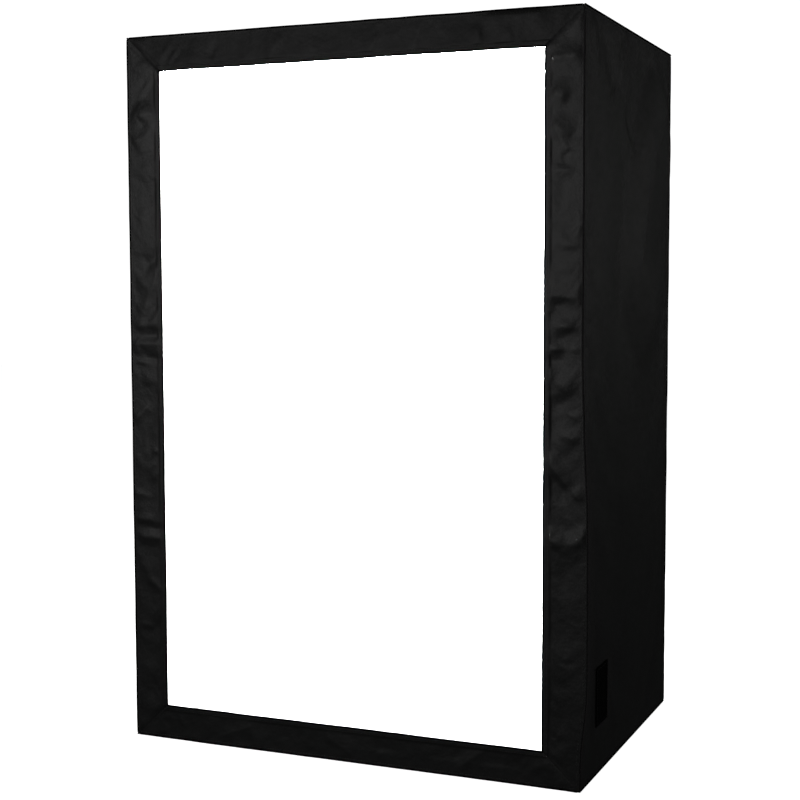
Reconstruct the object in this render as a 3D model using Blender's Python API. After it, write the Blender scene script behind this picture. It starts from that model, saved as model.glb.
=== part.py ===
"""A tall light tent for photographing clothes and other large goods.

A knock-down frame of steel tubes stands in eight moulded corner sockets. A black cover of laminated
cloth is sewn round it from four walls, a roof, a floor mat and a mitred band that leaves the front
open. Inside, a white sheet sweeps from a bar at the rear down to the floor, and two light bars hang
from the roof rails, along which they slide and on which they tilt.

X is the width, Y the depth from front to rear, and Z the height. The origin is on the floor, in the
middle of the tent. All lengths are in metres.
"""

import math

import bmesh
import bpy
from mathutils import Matrix, Vector

# The tent over its cover
WIDTH = 1.000
DEPTH = 0.700
HEIGHT = 1.500

# Room left between pieces that touch on the real tent
GAP = 0.0003

# Cover
CLOTH = 0.0020
BAND_SIDE = 0.076
BAND_END = 0.072
WALL_DRAWN_IN = 0.006
CREASE_DEPTH = 0.002
CREASE_HALF_WIDTH = 0.018
CREASE_FIRST = 0.475
CREASE_PITCH = 0.387
CREASE_COUNT = 3
CREASE_FADE = 0.030
WAVE_DEPTH = 0.0015
WAVE_COUNT = 3
CLOTH_GRID = 0.100
BAND_GRID = 0.080
BAND_COLUMNS = 3

# Frame tubes and their moulded corner sockets
TUBE_RADIUS = 0.0095
TUBE_WALL = 0.0012
SOCKET_WALL = 0.0027
SOCKET_DEPTH = 0.028
HUB_PROUD = 0.0003
HUB_CHAMFER = 0.002
NECK_LENGTH = 0.045

# Snap buttons that lock the two halves of each post
BUTTON_RADIUS = 0.0030
BUTTON_PROUD = 0.0024
BUTTON_FLANGE = 0.0012
BUTTON_FLANGE_THICK = 0.0010
BUTTON_TAIL = 0.0010

# Cord port low on the right wall, with its flap
SIDE_PORT_WIDTH = 0.060
SIDE_PORT_HEIGHT = 0.096
SIDE_PORT_FROM_FRONT = 0.1515
SIDE_PORT_ABOVE_FLOOR = 0.158
SIDE_FLAP_LAP = 0.012
FLAP_THICK = 0.0016

# Camera port in the roof, with its flap
ROOF_PORT_WIDTH = 0.240
ROOF_PORT_DEPTH = 0.160
ROOF_PORT_SETBACK = 0.020
ROOF_FLAP_LAP = 0.020

# Zip up the middle of the rear wall
ZIP_END_MARGIN = 0.120
ZIP_SLIT = 0.006
ZIP_TAPE_WIDTH = 0.030
ZIP_TAPE_THICK = 0.0008
ZIP_TAPE_PAST_SLIT = 0.008
ZIP_CHAIN_WIDTH = 0.005
ZIP_CHAIN_HEIGHT = 0.0022
SLIDER_LENGTH = 0.018
SLIDER_WALL = 0.0022
SLIDER_PLATE = 0.0015
SLIDER_FROM_TOP = 0.020
BAIL_LENGTH = 0.008
BAIL_WIDTH = 0.0016
BAIL_BAR = 0.0011
BAIL_OPENING = 0.0020
PULL_THICK = 0.0012
PULL_EYE_WIDTH = 0.0070
PULL_EYE_WALL = 0.0015
PULL_EYE_LENGTH = 0.008
PULL_WIDTH = 0.009
PULL_LENGTH = 0.038

# White sheet, the bar that it hangs on and the two hooks that hold the bar
SHEET_BESIDE_FRAME = 0.0021
SHEET_THICK = 0.0010
SHEET_SWEEP = 0.300
SHEET_HEM = 0.035
SHEET_BEHIND_SOCKETS = 0.003
BAR_RADIUS = 0.006
BAR_PAST_HOOK = 0.002
HOOK_WIDTH = 0.014
HOOK_WALL = 0.0024
HOOK_MOUTH = math.radians(110)
CRADLE_MOUTH = math.radians(120)

# Light bars
LIGHT_PLACES = {"front_light": 0.100, "rear_light": 0.430}
CLIP_WALL = 0.0024
CLIP_WIDTH = 0.022
CLIP_MOUTH = math.radians(120)
CLIP_MOUTH_FACES = math.radians(135)
CLIP_ARM_WIDTH = 0.016
CLIP_ARM_THICK = 0.004
CLIP_ARM_FROM_RAIL = 0.004
PIVOT_DROP = 0.036
PIVOT_RADIUS = 0.004
PIVOT_PAST_ARM = 0.0015
CAP_WIDTH = 0.038
CAP_HEIGHT = 0.017
CAP_THICK = 0.005
CAP_CHAMFER = 0.0015
INLET_RADIUS = 0.0028
INLET_DEPTH = 0.004
INLET_PIN_RADIUS = 0.0008
INLET_PIN_SETBACK = 0.0012
INLET_OFFSET = 0.0135
CHANNEL_WIDTH = 0.036
CHANNEL_HEIGHT = 0.014
CHANNEL_WALL = 0.0014
BOARD_WIDTH = 0.031
BOARD_THICK = 0.0016
LAMP_PITCH = 0.047
LAMP_SIZE = 0.005
LAMP_HEIGHT = 0.0010
DIFFUSER_THICK = 0.0015
DIFFUSER_CROWN = 0.0020
DIFFUSER_LIP = 0.0030
DIFFUSER_FACETS = 6

# How finely round pieces are divided
TUBE_SIDES = 16
PIN_SIDES = 12
ARC_STEP = math.radians(15)
SHARP_ANGLE = math.radians(35)

# Sizes that follow from those above
SOCKET_RADIUS = TUBE_RADIUS + GAP + SOCKET_WALL
HUB_HALF = SOCKET_RADIUS + HUB_PROUD
GRIP_RADIUS = TUBE_RADIUS + GAP + max(CLIP_WALL, HOOK_WALL)
HOOK_HALF = BAR_RADIUS + GAP + HOOK_WALL
BAR_BEFORE_POST = TUBE_RADIUS + HOOK_WALL + BAR_RADIUS + 3 * GAP
FRAME_HALF = max(HUB_HALF, GRIP_RADIUS)
RAIL_INSET = CLOTH + GAP + FRAME_HALF
RAIL_X = WIDTH / 2 - RAIL_INSET
RAIL_Y = DEPTH / 2 - RAIL_INSET
RAIL_TOP = HEIGHT - RAIL_INSET
RAIL_BOTTOM = RAIL_INSET
TUBE_BORE = TUBE_RADIUS - TUBE_WALL
NECK_RADIUS = TUBE_BORE - GAP
NECK_BORE = NECK_RADIUS - TUBE_WALL
CREASE_HEIGHTS = [CREASE_FIRST + CREASE_PITCH * i for i in range(CREASE_COUNT)]
POST_JOINT = (RAIL_BOTTOM + RAIL_TOP) / 2
SHEET_HALF = RAIL_X - FRAME_HALF - SHEET_BESIDE_FRAME
BAR_Y = RAIL_Y - BAR_BEFORE_POST
BAR_Z = RAIL_TOP - HUB_HALF - SOCKET_DEPTH - GAP - HOOK_HALF
BAR_LENGTH = 2 * (RAIL_X + HOOK_WIDTH / 2 + BAR_PAST_HOOK)
PIVOT_Z = RAIL_TOP - PIVOT_DROP
ARM_X = RAIL_X - CLIP_ARM_FROM_RAIL
CAP_X = ARM_X - CLIP_ARM_THICK - GAP
CHANNEL_HALF = CAP_X - CAP_THICK - GAP

X_AXIS = Vector((1, 0, 0))
Y_AXIS = Vector((0, 1, 0))
Z_AXIS = Vector((0, 0, 1))


def clear_scene():
    for obj in list(bpy.data.objects):
        bpy.data.objects.remove(obj)


def material(name, colour, roughness, metallic=0.0):
    made = bpy.data.materials.new(name)
    made.use_nodes = True
    shader = made.node_tree.nodes["Principled BSDF"]
    shader.inputs["Base Color"].default_value = (*colour, 1.0)
    shader.inputs["Roughness"].default_value = roughness
    shader.inputs["Metallic"].default_value = metallic
    return made


def empty(name, place, parent=None):
    """An empty that marks a joint's axis and carries the pieces that turn or slide there."""
    made = bpy.data.objects.new(name, None)
    made.empty_display_size = 0.03
    bpy.context.collection.objects.link(made)
    made.location = place
    if parent:
        made.parent = parent
        made.matrix_parent_inverse = Matrix.Translation(parent.matrix_world.translation).inverted()
    bpy.context.view_layer.update()
    return made


def piece(name, mesh, finish, place=(0, 0, 0), turn=None, carrier=None):
    """An object for one piece, with its mesh placed and turned in the tent's own frame."""
    mesh.name = name
    mesh.materials.clear()
    mesh.materials.append(finish)
    mesh.shade_smooth()
    mesh.set_sharp_from_angle(angle=SHARP_ANGLE)
    obj = bpy.data.objects.new(name, mesh)
    bpy.context.collection.objects.link(obj)
    obj.matrix_world = Matrix.Translation(place) @ (turn or Matrix.Identity(4))
    if carrier:
        obj.parent = carrier
        obj.matrix_parent_inverse = carrier.matrix_world.inverted()
    return obj


def finished(bm):
    """The bmesh as a mesh, with doubled points merged and every face turned outwards."""
    bmesh.ops.remove_doubles(bm, verts=bm.verts, dist=1e-6)
    bmesh.ops.recalc_face_normals(bm, faces=bm.faces)
    mesh = bpy.data.meshes.new("piece")
    bm.to_mesh(mesh)
    bm.free()
    return mesh


def block(low, high, chamfer=0.0):
    """A box between two corners, with its edges chamfered if asked."""
    bm = bmesh.new()
    bmesh.ops.create_cube(bm, size=1)
    low, high = Vector(low), Vector(high)
    for vert in bm.verts:
        vert.co = Vector(low[k] + (vert.co[k] + 0.5) * (high[k] - low[k]) for k in range(3))
    if chamfer:
        bmesh.ops.bevel(bm, geom=bm.edges[:], offset=chamfer, segments=1, affect="EDGES")
    return finished(bm)


def turned(profile, sides, axis=Z_AXIS):
    """A profile of (radius, height) points turned about an axis. It closes on itself or on the axis."""
    bm = bmesh.new()
    points = [bm.verts.new((radius, 0, height)) for radius, height in profile]
    pairs = list(zip(points, points[1:]))
    if min(radius for radius, _ in profile) > 0:
        pairs.append((points[-1], points[0]))
    edges = [bm.edges.new(pair) for pair in pairs]
    bmesh.ops.spin(
        bm, geom=edges, cent=(0, 0, 0), axis=(0, 0, 1), angle=math.tau, steps=sides, use_merge=True
    )
    bmesh.ops.transform(bm, matrix=Z_AXIS.rotation_difference(axis).to_matrix().to_4x4(), verts=bm.verts)
    return finished(bm)


def rod(radius, start, end, sides, axis):
    return turned([(0, start), (radius, start), (radius, end), (0, end)], sides, axis)


def prism(outline, across, up, along, start, end):
    """An outline of (across, up) points extruded along the third direction."""
    bm = bmesh.new()
    ends = [
        [bm.verts.new(across * a + up * b + along * reach) for a, b in outline]
        for reach in (start, end)
    ]
    bm.faces.new(ends[0])
    bm.faces.new(reversed(ends[1]))
    count = len(outline)
    for i in range(count):
        j = (i + 1) % count
        bm.faces.new((ends[0][i], ends[0][j], ends[1][j], ends[1][i]))
    return finished(bm)


def arc(centre, radius, start, end):
    """Points (across, up) along an arc between two angles, in steps no wider than ARC_STEP."""
    count = max(2, math.ceil(abs(end - start) / ARC_STEP))
    angles = [start + (end - start) * i / count for i in range(count + 1)]
    return [(centre[0] + radius * math.cos(a), centre[1] + radius * math.sin(a)) for a in angles]


def grip_outline(centre, bore, wall, faces, mouth):
    """The outline of an open ring that snaps round a rod, with its mouth facing the angle given."""
    start, end = faces + mouth / 2, faces + math.tau - mouth / 2
    return arc(centre, bore + wall, start, end) + arc(centre, bore, end, start)


def combine(mesh, others, operation):
    """The mesh with the others joined to it or cut from it."""
    body = bpy.data.objects.new("body", mesh)
    bpy.context.collection.objects.link(body)
    helpers = []
    for other in others:
        helper = bpy.data.objects.new("helper", other)
        bpy.context.collection.objects.link(helper)
        helpers.append(helper)
        boolean = body.modifiers.new("boolean", "BOOLEAN")
        boolean.operation = operation
        boolean.object = helper
    bpy.context.view_layer.update()
    graph = bpy.context.evaluated_depsgraph_get()
    result = bpy.data.meshes.new_from_object(body.evaluated_get(graph))
    for obj in [body, *helpers]:
        bpy.data.objects.remove(obj)
    return result


def joined(mesh, *others):
    return combine(mesh, others, "UNION")


def cut(mesh, *others):
    return combine(mesh, others, "DIFFERENCE")


def moved(mesh, place):
    mesh.transform(Matrix.Translation(place))
    return mesh


# Cloth

def stations(low, high, step, marks=()):
    """Grid lines from low to high, no wider apart than step, with one on every mark between them."""
    stops = [low, *sorted(mark for mark in marks if low < mark < high), high]
    lines = [low]
    for start, end in zip(stops, stops[1:]):
        count = max(1, math.ceil((end - start) / step - 1e-6))
        lines += [start + (end - start) * i / count for i in range(1, count + 1)]
    return lines


def crease_marks():
    return [height + side * CREASE_HALF_WIDTH for height in CREASE_HEIGHTS for side in (-1, 0, 1)]


def crease(height):
    """How deep a packing crease is at this height, from 0 to 1."""
    nearest = min(abs(height - place) for place in CREASE_HEIGHTS)
    return max(0.0, 1 - nearest / CREASE_HALF_WIDTH)


def fade(distance, reach):
    """A smooth rise from 0 at no distance to 1 at the reach."""
    share = min(1.0, max(0.0, distance / reach))
    return share * share * (3 - 2 * share)


def sheet_solid(rows, drop, hole=None):
    """A closed sheet from rows of points on its outer face, with its inner face shifted by drop."""
    bm = bmesh.new()
    outer = [[bm.verts.new(point) for point in row] for row in rows]
    inner_of = {vert: bm.verts.new(vert.co + drop) for row in outer for vert in row}
    for i, row in enumerate(outer[:-1]):
        for j in range(len(row) - 1):
            corners = (row[j], row[j + 1], outer[i + 1][j + 1], outer[i + 1][j])
            centre = sum((vert.co for vert in corners), Vector()) / 4
            if hole and hole(centre):
                continue
            bm.faces.new(corners)
            bm.faces.new([inner_of[vert] for vert in reversed(corners)])
    for edge in [edge for edge in bm.edges if edge.is_boundary and edge.verts[0] in inner_of]:
        a, b = edge.verts
        bm.faces.new((a, b, inner_of[b], inner_of[a]))
    bmesh.ops.delete(bm, geom=[vert for vert in bm.verts if not vert.link_faces], context="VERTS")
    bmesh.ops.dissolve_degenerate(bm, dist=1e-6, edges=bm.edges)
    return finished(bm)


def wall_draw(across, height, span):
    """How far a wall is drawn in between its posts, with its waves and packing creases."""
    sideways = math.sin(math.pi * across / span) ** 2
    upright = math.sin(math.pi * height / HEIGHT) ** 2
    wave = WAVE_DEPTH * math.sin(math.tau * WAVE_COUNT * across / span)
    edge = fade(min(across, span - across), CREASE_FADE)
    return (WALL_DRAWN_IN + wave) * sideways * upright + CREASE_DEPTH * crease(height) * edge


def wall(low, high, plane, outward, across, bays=1, marks=((), ()), hole=None):
    """A cloth wall between two places across, drawn in over each bay, with an outward normal.

    Its marks are the places across and the heights where the grid must have a line.
    """
    bay = (high - low) / bays
    bottom = CLOTH + GAP
    rows = []
    for height in stations(bottom, HEIGHT - bottom, CLOTH_GRID, [*crease_marks(), *marks[1]]):
        row = []
        for place in stations(low, high, CLOTH_GRID, [*marks[0], low + CREASE_FADE, high - CREASE_FADE]):
            inward = wall_draw((place - low) % bay, height, bay)
            row.append(outward * (plane - inward) + across * place + Z_AXIS * height)
        rows.append(row)
    return sheet_solid(rows, -outward * CLOTH, hole)


def within(low_a, high_a, low_b, high_b, axis_a, axis_b):
    """A test for points inside a rectangle along two axes."""
    return lambda point: low_a < point.dot(axis_a) < high_a and low_b < point.dot(axis_b) < high_b


def side_port():
    """(front, rear, bottom, top) edges of the cord port in the right wall."""
    middle = SIDE_PORT_FROM_FRONT - DEPTH / 2
    half_width, half_height = SIDE_PORT_WIDTH / 2, SIDE_PORT_HEIGHT / 2
    low, high = SIDE_PORT_ABOVE_FLOOR - half_height, SIDE_PORT_ABOVE_FLOOR + half_height
    return middle - half_width, middle + half_width, low, high


def roof_port():
    """(left, right, front, rear) edges of the camera port in the roof."""
    half_width, half_depth = ROOF_PORT_WIDTH / 2, ROOF_PORT_DEPTH / 2
    return -half_width, half_width, -ROOF_PORT_SETBACK - half_depth, -ROOF_PORT_SETBACK + half_depth


def band_strip(outer_length, width, end_width, creased):
    """One mitred strip of the front band, flat in X and Z, with its outer edge at the left.

    It runs up Z, centred on the origin. The strips above and below it are end_width wide.
    """
    straight = outer_length / 2 - end_width
    marks = [height - HEIGHT / 2 for height in crease_marks()] if creased else []
    shares = [i / BAND_COLUMNS for i in range(BAND_COLUMNS + 1)]
    rows = []
    for along in stations(-straight, straight, BAND_GRID, marks):
        row = []
        for share in shares:
            inward = 0.0
            if creased:
                ends = fade(straight - abs(along), CREASE_FADE)
                inward = CREASE_DEPTH * crease(along + HEIGHT / 2) * fade(share, 1.0) * ends
            row.append(Vector((share * width, inward, along)))
        rows.append(row)
    lower_mitre, upper_mitre = (
        [
            Vector((share * width, 0, end * (outer_length / 2 - share * end_width - GAP * (1 - share))))
            for share in shares
        ]
        for end in (-1, 1)
    )
    return sheet_solid([lower_mitre, *rows, upper_mitre], Y_AXIS * CLOTH)


def build_cover(cloth, mat, port_cloth):
    front = -DEPTH / 2
    half_width, half_depth = WIDTH / 2, DEPTH / 2
    half_turn = Matrix.Rotation(math.pi, 4, "Y")
    quarter_turn = Matrix.Rotation(math.pi / 2, 4, "Y")

    side = band_strip(HEIGHT, BAND_SIDE, BAND_END, creased=True)
    piece("front_band_left", side, cloth, (-half_width, front, HEIGHT / 2))
    mirrored = side.copy()
    mirrored.transform(Matrix.Scale(-1, 4, X_AXIS))
    mirrored.flip_normals()
    piece("front_band_right", mirrored, cloth, (half_width, front, HEIGHT / 2))
    end = band_strip(WIDTH, BAND_END, BAND_SIDE, creased=False)
    piece("front_band_top", end, cloth, (0, front, HEIGHT), quarter_turn)
    piece("front_band_bottom", end.copy(), cloth, (0, front, 0), quarter_turn @ half_turn)

    low, high = front + CLOTH + GAP, half_depth
    port = side_port()
    piece("left_wall", wall(low, high, half_width, -X_AXIS, Y_AXIS), cloth)
    right = wall(
        low, high, half_width, X_AXIS, Y_AXIS,
        marks=(port[:2], port[2:]), hole=within(*port, Y_AXIS, Z_AXIS),
    )
    piece("right_wall", right, cloth)

    inner = half_width - CLOTH - GAP
    slit = ZIP_SLIT / 2
    slit_ends = (ZIP_END_MARGIN, HEIGHT - ZIP_END_MARGIN)
    rear = wall(
        -inner, inner, half_depth, Y_AXIS, X_AXIS, bays=2,
        marks=((-ZIP_TAPE_WIDTH / 2, -slit, slit, ZIP_TAPE_WIDTH / 2), slit_ends),
        hole=within(-slit, slit, *slit_ends, X_AXIS, Z_AXIS),
    )
    piece("rear_wall", rear, cloth)

    port = roof_port()
    bottom = front + CLOTH + GAP
    roof_rows = [
        [Vector((x, y, HEIGHT)) for x in stations(-half_width, half_width, WIDTH, port[:2])]
        for y in stations(bottom, half_depth, DEPTH, port[2:])
    ]
    roof = sheet_solid(roof_rows, -Z_AXIS * CLOTH, within(*port, X_AXIS, Y_AXIS))
    piece("roof", roof, cloth)
    floor = block((-half_width, bottom, 0), (half_width, half_depth, CLOTH))
    piece("floor_mat", floor, mat)

    build_side_flap(port_cloth)
    build_roof_flap(port_cloth)


def build_side_flap(port_cloth):
    """The flap over the cord port hangs from its top edge, which is sewn to the wall."""
    front, rear, low, high = side_port()
    low, high = low - SIDE_FLAP_LAP, high + SIDE_FLAP_LAP
    hinge = empty("side_port_flap_axis", (WIDTH / 2 + GAP + FLAP_THICK / 2, (front + rear) / 2, high))
    flap = block(
        (WIDTH / 2 + GAP, front - SIDE_FLAP_LAP, low),
        (WIDTH / 2 + GAP + FLAP_THICK, rear + SIDE_FLAP_LAP, high),
    )
    piece("side_port_flap", flap, port_cloth, carrier=hinge)


def build_roof_flap(port_cloth):
    """The flap over the camera port lies on the roof, sewn along its rear edge."""
    left, right, front, rear = roof_port()
    hinge = empty("roof_port_flap_axis", (0, rear + ROOF_FLAP_LAP, HEIGHT + GAP + FLAP_THICK / 2))
    flap = block(
        (left - ROOF_FLAP_LAP, front - ROOF_FLAP_LAP, HEIGHT + GAP),
        (right + ROOF_FLAP_LAP, rear + ROOF_FLAP_LAP, HEIGHT + GAP + FLAP_THICK),
    )
    piece("roof_port_flap", flap, port_cloth, carrier=hinge)


# Frame

def corner_socket():
    """A hub with three open sockets, along +X, +Y and +Z."""
    reach = HUB_HALF + SOCKET_DEPTH
    hub = block([-HUB_HALF] * 3, [HUB_HALF] * 3, HUB_CHAMFER)
    arms = [rod(SOCKET_RADIUS, 0, reach, TUBE_SIDES, axis) for axis in (X_AXIS, Y_AXIS, Z_AXIS)]
    bores = [
        rod(TUBE_RADIUS + GAP, HUB_HALF, reach + HUB_HALF, TUBE_SIDES, axis)
        for axis in (X_AXIS, Y_AXIS, Z_AXIS)
    ]
    return cut(joined(hub, *arms), *bores)


def rail(length, axis):
    half = length / 2
    ring = [(TUBE_BORE, -half), (TUBE_RADIUS, -half), (TUBE_RADIUS, half), (TUBE_BORE, half)]
    return turned(ring, TUBE_SIDES, axis)


def button_hole(height, outward):
    return moved(
        rod(BUTTON_RADIUS + GAP, 0, 2 * TUBE_RADIUS, PIN_SIDES, outward), (0, 0, height)
    )


def build_frame(tube, moulding, steel):
    socket = corner_socket()
    quarter_turns = {(-1, -1): 0, (1, -1): 1, (1, 1): 2, (-1, 1): 3}
    over = Matrix.Rotation(math.pi, 4, "X")
    for side, x in (("left", -1), ("right", 1)):
        for end, y in (("front", -1), ("rear", 1)):
            turn = Matrix.Rotation(quarter_turns[x, y] * math.pi / 2, 4, "Z")
            place = (x * RAIL_X, y * RAIL_Y, RAIL_BOTTOM)
            piece(f"corner_bottom_{end}_{side}", socket.copy(), moulding, place, turn)
            # Turning a socket over about X also turns its depth arm round.
            turn = over @ Matrix.Rotation(quarter_turns[x, -y] * math.pi / 2, 4, "Z")
            place = (x * RAIL_X, y * RAIL_Y, RAIL_TOP)
            piece(f"corner_top_{end}_{side}", socket.copy(), moulding, place, turn)

    from_hub = HUB_HALF + GAP
    width_rail = rail(2 * (RAIL_X - from_hub), X_AXIS)
    depth_rail = rail(2 * (RAIL_Y - from_hub), Y_AXIS)
    for level, height in (("bottom", RAIL_BOTTOM), ("top", RAIL_TOP)):
        for end, y in (("front", -RAIL_Y), ("rear", RAIL_Y)):
            piece(f"rail_{level}_{end}", width_rail.copy(), tube, (0, y, height))
        for side, x in (("left", -RAIL_X), ("right", RAIL_X)):
            piece(f"rail_{level}_{side}", depth_rail.copy(), tube, (x, 0, height))

    for side, x in (("left", -RAIL_X), ("right", RAIL_X)):
        inward = X_AXIS if side == "left" else -X_AXIS
        for end, y in (("front", -RAIL_Y), ("rear", RAIL_Y)):
            build_post(f"{end}_{side}", x, y, inward, tube, steel)


def build_post(name, x, y, inward, tube, steel):
    """Two tubes, the lower one necked to plug into the upper one, and the button that locks them."""
    bottom = RAIL_BOTTOM + HUB_HALF + GAP
    top = RAIL_TOP - HUB_HALF - GAP
    shoulder = POST_JOINT - GAP
    neck_end = POST_JOINT + NECK_LENGTH
    button_height = POST_JOINT + NECK_LENGTH / 2
    lower = turned(
        [
            (TUBE_BORE, bottom), (TUBE_RADIUS, bottom), (TUBE_RADIUS, shoulder),
            (NECK_RADIUS, shoulder), (NECK_RADIUS, neck_end), (NECK_BORE, neck_end),
            (NECK_BORE, shoulder - TUBE_WALL), (TUBE_BORE, shoulder - 2 * TUBE_WALL),
        ],
        TUBE_SIDES,
    )
    upper = turned(
        [(TUBE_BORE, POST_JOINT), (TUBE_RADIUS, POST_JOINT), (TUBE_RADIUS, top), (TUBE_BORE, top)],
        TUBE_SIDES,
    )
    piece(f"post_lower_{name}", cut(lower, button_hole(button_height, inward)), tube, (x, y, 0))
    piece(f"post_upper_{name}", cut(upper, button_hole(button_height, inward)), tube, (x, y, 0))

    flange = BUTTON_RADIUS + BUTTON_FLANGE
    flat_bore = NECK_BORE * math.cos(math.pi / TUBE_SIDES)
    seat = math.sqrt(flat_bore**2 - flange**2) - GAP
    under = seat - BUTTON_FLANGE_THICK
    tip = TUBE_RADIUS + BUTTON_PROUD
    crown = arc((0, 0), BUTTON_RADIUS, 0, math.pi / 2)
    dome = [(x, tip - BUTTON_RADIUS / 2 + z / 2) for x, z in crown[:-1]]
    button = turned(
        [
            (0, under - BUTTON_TAIL), (BUTTON_RADIUS, under - BUTTON_TAIL),
            (BUTTON_RADIUS, under), (flange, under), (flange, seat), (BUTTON_RADIUS, seat),
            *dome, (0, tip),
        ],
        PIN_SIDES,
        inward,
    )
    axis = empty(f"snap_button_{name}_axis", (x, y, button_height))
    piece(f"snap_button_{name}", button, steel, (x, y, button_height), carrier=axis)


# Zip

def build_zip(tape, metal):
    face = DEPTH / 2 + GAP
    tape_face = face + ZIP_TAPE_THICK
    crown = tape_face + ZIP_CHAIN_HEIGHT
    half_tape, half_chain = ZIP_TAPE_WIDTH / 2, ZIP_CHAIN_WIDTH / 2
    tape_low = ZIP_END_MARGIN - ZIP_TAPE_PAST_SLIT
    tape_high = HEIGHT - ZIP_END_MARGIN + ZIP_TAPE_PAST_SLIT
    outline = [
        (-half_tape, face), (half_tape, face), (half_tape, tape_face), (half_chain, tape_face),
        (half_chain, crown), (-half_chain, crown), (-half_chain, tape_face), (-half_tape, tape_face),
    ]
    chain = prism(outline, X_AXIS, Y_AXIS, Z_AXIS, tape_low, tape_high)
    piece("rear_zip_chain", chain, tape)

    inside = half_chain + GAP
    outside = inside + SLIDER_WALL
    plate_low, plate_high = crown + GAP, crown + GAP + SLIDER_PLATE
    saddle = [
        (-outside, tape_face + GAP), (-inside, tape_face + GAP), (-inside, plate_low),
        (inside, plate_low), (inside, tape_face + GAP), (outside, tape_face + GAP),
        (outside, plate_high), (-outside, plate_high),
    ]
    middle = HEIGHT - ZIP_END_MARGIN - SLIDER_FROM_TOP
    half_length = SLIDER_LENGTH / 2
    body = prism(saddle, X_AXIS, Y_AXIS, Z_AXIS, middle - half_length, middle + half_length)
    bail_half = BAIL_LENGTH / 2
    under, over = plate_high + BAIL_OPENING, plate_high + BAIL_OPENING + BAIL_BAR
    rooted = plate_high - SLIDER_PLATE / 2
    arch = [
        (rooted, -bail_half), (over, -bail_half), (over, bail_half), (rooted, bail_half),
        (rooted, bail_half - BAIL_BAR), (under, bail_half - BAIL_BAR),
        (under, BAIL_BAR - bail_half), (rooted, BAIL_BAR - bail_half),
    ]
    bail = prism(arch, Y_AXIS, Z_AXIS, X_AXIS, -BAIL_WIDTH / 2, BAIL_WIDTH / 2)
    slide = empty("rear_zip_slider_axis", (0, tape_face, middle))
    piece("rear_zip_slider", joined(body, moved(bail, (0, 0, middle))), metal, carrier=slide)

    half_thick = PULL_THICK / 2
    pivot_y = plate_high + BAIL_OPENING / 2
    eye_half, eye_inner = PULL_EYE_WIDTH / 2, PULL_EYE_WIDTH / 2 - PULL_EYE_WALL
    eye_reach = PULL_EYE_LENGTH
    outline = [
        (-eye_half, half_thick), (eye_half, half_thick), (eye_half, -eye_reach),
        (PULL_WIDTH / 2, -eye_reach), (PULL_WIDTH / 2, -PULL_LENGTH),
        (-PULL_WIDTH / 2, -PULL_LENGTH), (-PULL_WIDTH / 2, -eye_reach), (-eye_half, -eye_reach),
    ]
    tab = prism(outline, X_AXIS, Z_AXIS, Y_AXIS, -half_thick, half_thick)
    window = block((-eye_inner, -PULL_THICK, -eye_reach), (eye_inner, PULL_THICK, -half_thick))
    pivot = (0, pivot_y, middle)
    hang = empty("rear_zip_pull_axis", pivot, slide)
    piece("rear_zip_pull", cut(tab, window), metal, pivot, carrier=hang)


# White sheet

def sheet_line():
    """The middle of the sheet's thickness in (y, z), from its hem over the bar to its front edge."""
    half = SHEET_THICK / 2
    wrap = BAR_RADIUS + GAP + half
    floor = CLOTH + GAP + half
    back = BAR_Y - wrap
    front_edge = -RAIL_Y + HUB_HALF + SHEET_BEHIND_SOCKETS
    over = arc((BAR_Y, BAR_Z), wrap, 0, math.pi)
    sweep = arc((back - SHEET_SWEEP, floor + SHEET_SWEEP), SHEET_SWEEP, 0, -math.pi / 2)
    return [(BAR_Y + wrap, BAR_Z - SHEET_HEM), *over, *sweep, (front_edge, floor)]


def thickened(line, thickness):
    """The outline of a strip of even thickness round a line of (across, up) points."""
    half = thickness / 2
    points = [Vector(point) for point in line]
    left, right = [], []
    for i, point in enumerate(points):
        before = (point - points[i - 1]).normalized() if i else None
        after = (points[i + 1] - point).normalized() if i + 1 < len(points) else None
        heading = ((before or after) + (after or before)).normalized()
        normal = Vector((-heading.y, heading.x))
        stretch = half / max(0.5, heading.dot(after or before))
        left.append(tuple(point + normal * stretch))
        right.append(tuple(point - normal * stretch))
    return left + right[::-1]


def build_backdrop(sheet_white, bar_metal, moulding):
    outline = thickened(sheet_line(), SHEET_THICK)
    piece("backdrop_sheet", prism(outline, Y_AXIS, Z_AXIS, X_AXIS, -SHEET_HALF, SHEET_HALF), sheet_white)

    bar = rod(BAR_RADIUS, -BAR_LENGTH / 2, BAR_LENGTH / 2, PIN_SIDES, X_AXIS)
    piece("backdrop_bar", bar, bar_metal, (0, BAR_Y, BAR_Z))

    # Each hook snaps on a rear post, just under its socket, and cradles an end of the bar. The grip's
    # mouth faces the rear and the cradle's faces up, which is a quarter turn in both outlines.
    mouths_face = math.pi / 2
    grip = grip_outline((0, 0), TUBE_RADIUS + GAP, HOOK_WALL, mouths_face, HOOK_MOUTH)
    bar_place = (-BAR_BEFORE_POST, 0)
    cradle = grip_outline(bar_place, BAR_RADIUS + GAP, HOOK_WALL, mouths_face, CRADLE_MOUTH)
    half_hook = HOOK_WIDTH / 2
    hook = joined(
        prism(grip, X_AXIS, Y_AXIS, Z_AXIS, -HOOK_HALF, HOOK_HALF),
        prism(cradle, Y_AXIS, Z_AXIS, X_AXIS, -half_hook, half_hook),
    )
    for name, x in (("left", -RAIL_X), ("right", RAIL_X)):
        piece(f"backdrop_hook_{name}", hook.copy(), moulding, (x, RAIL_Y, BAR_Z))


# Light bars

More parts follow.
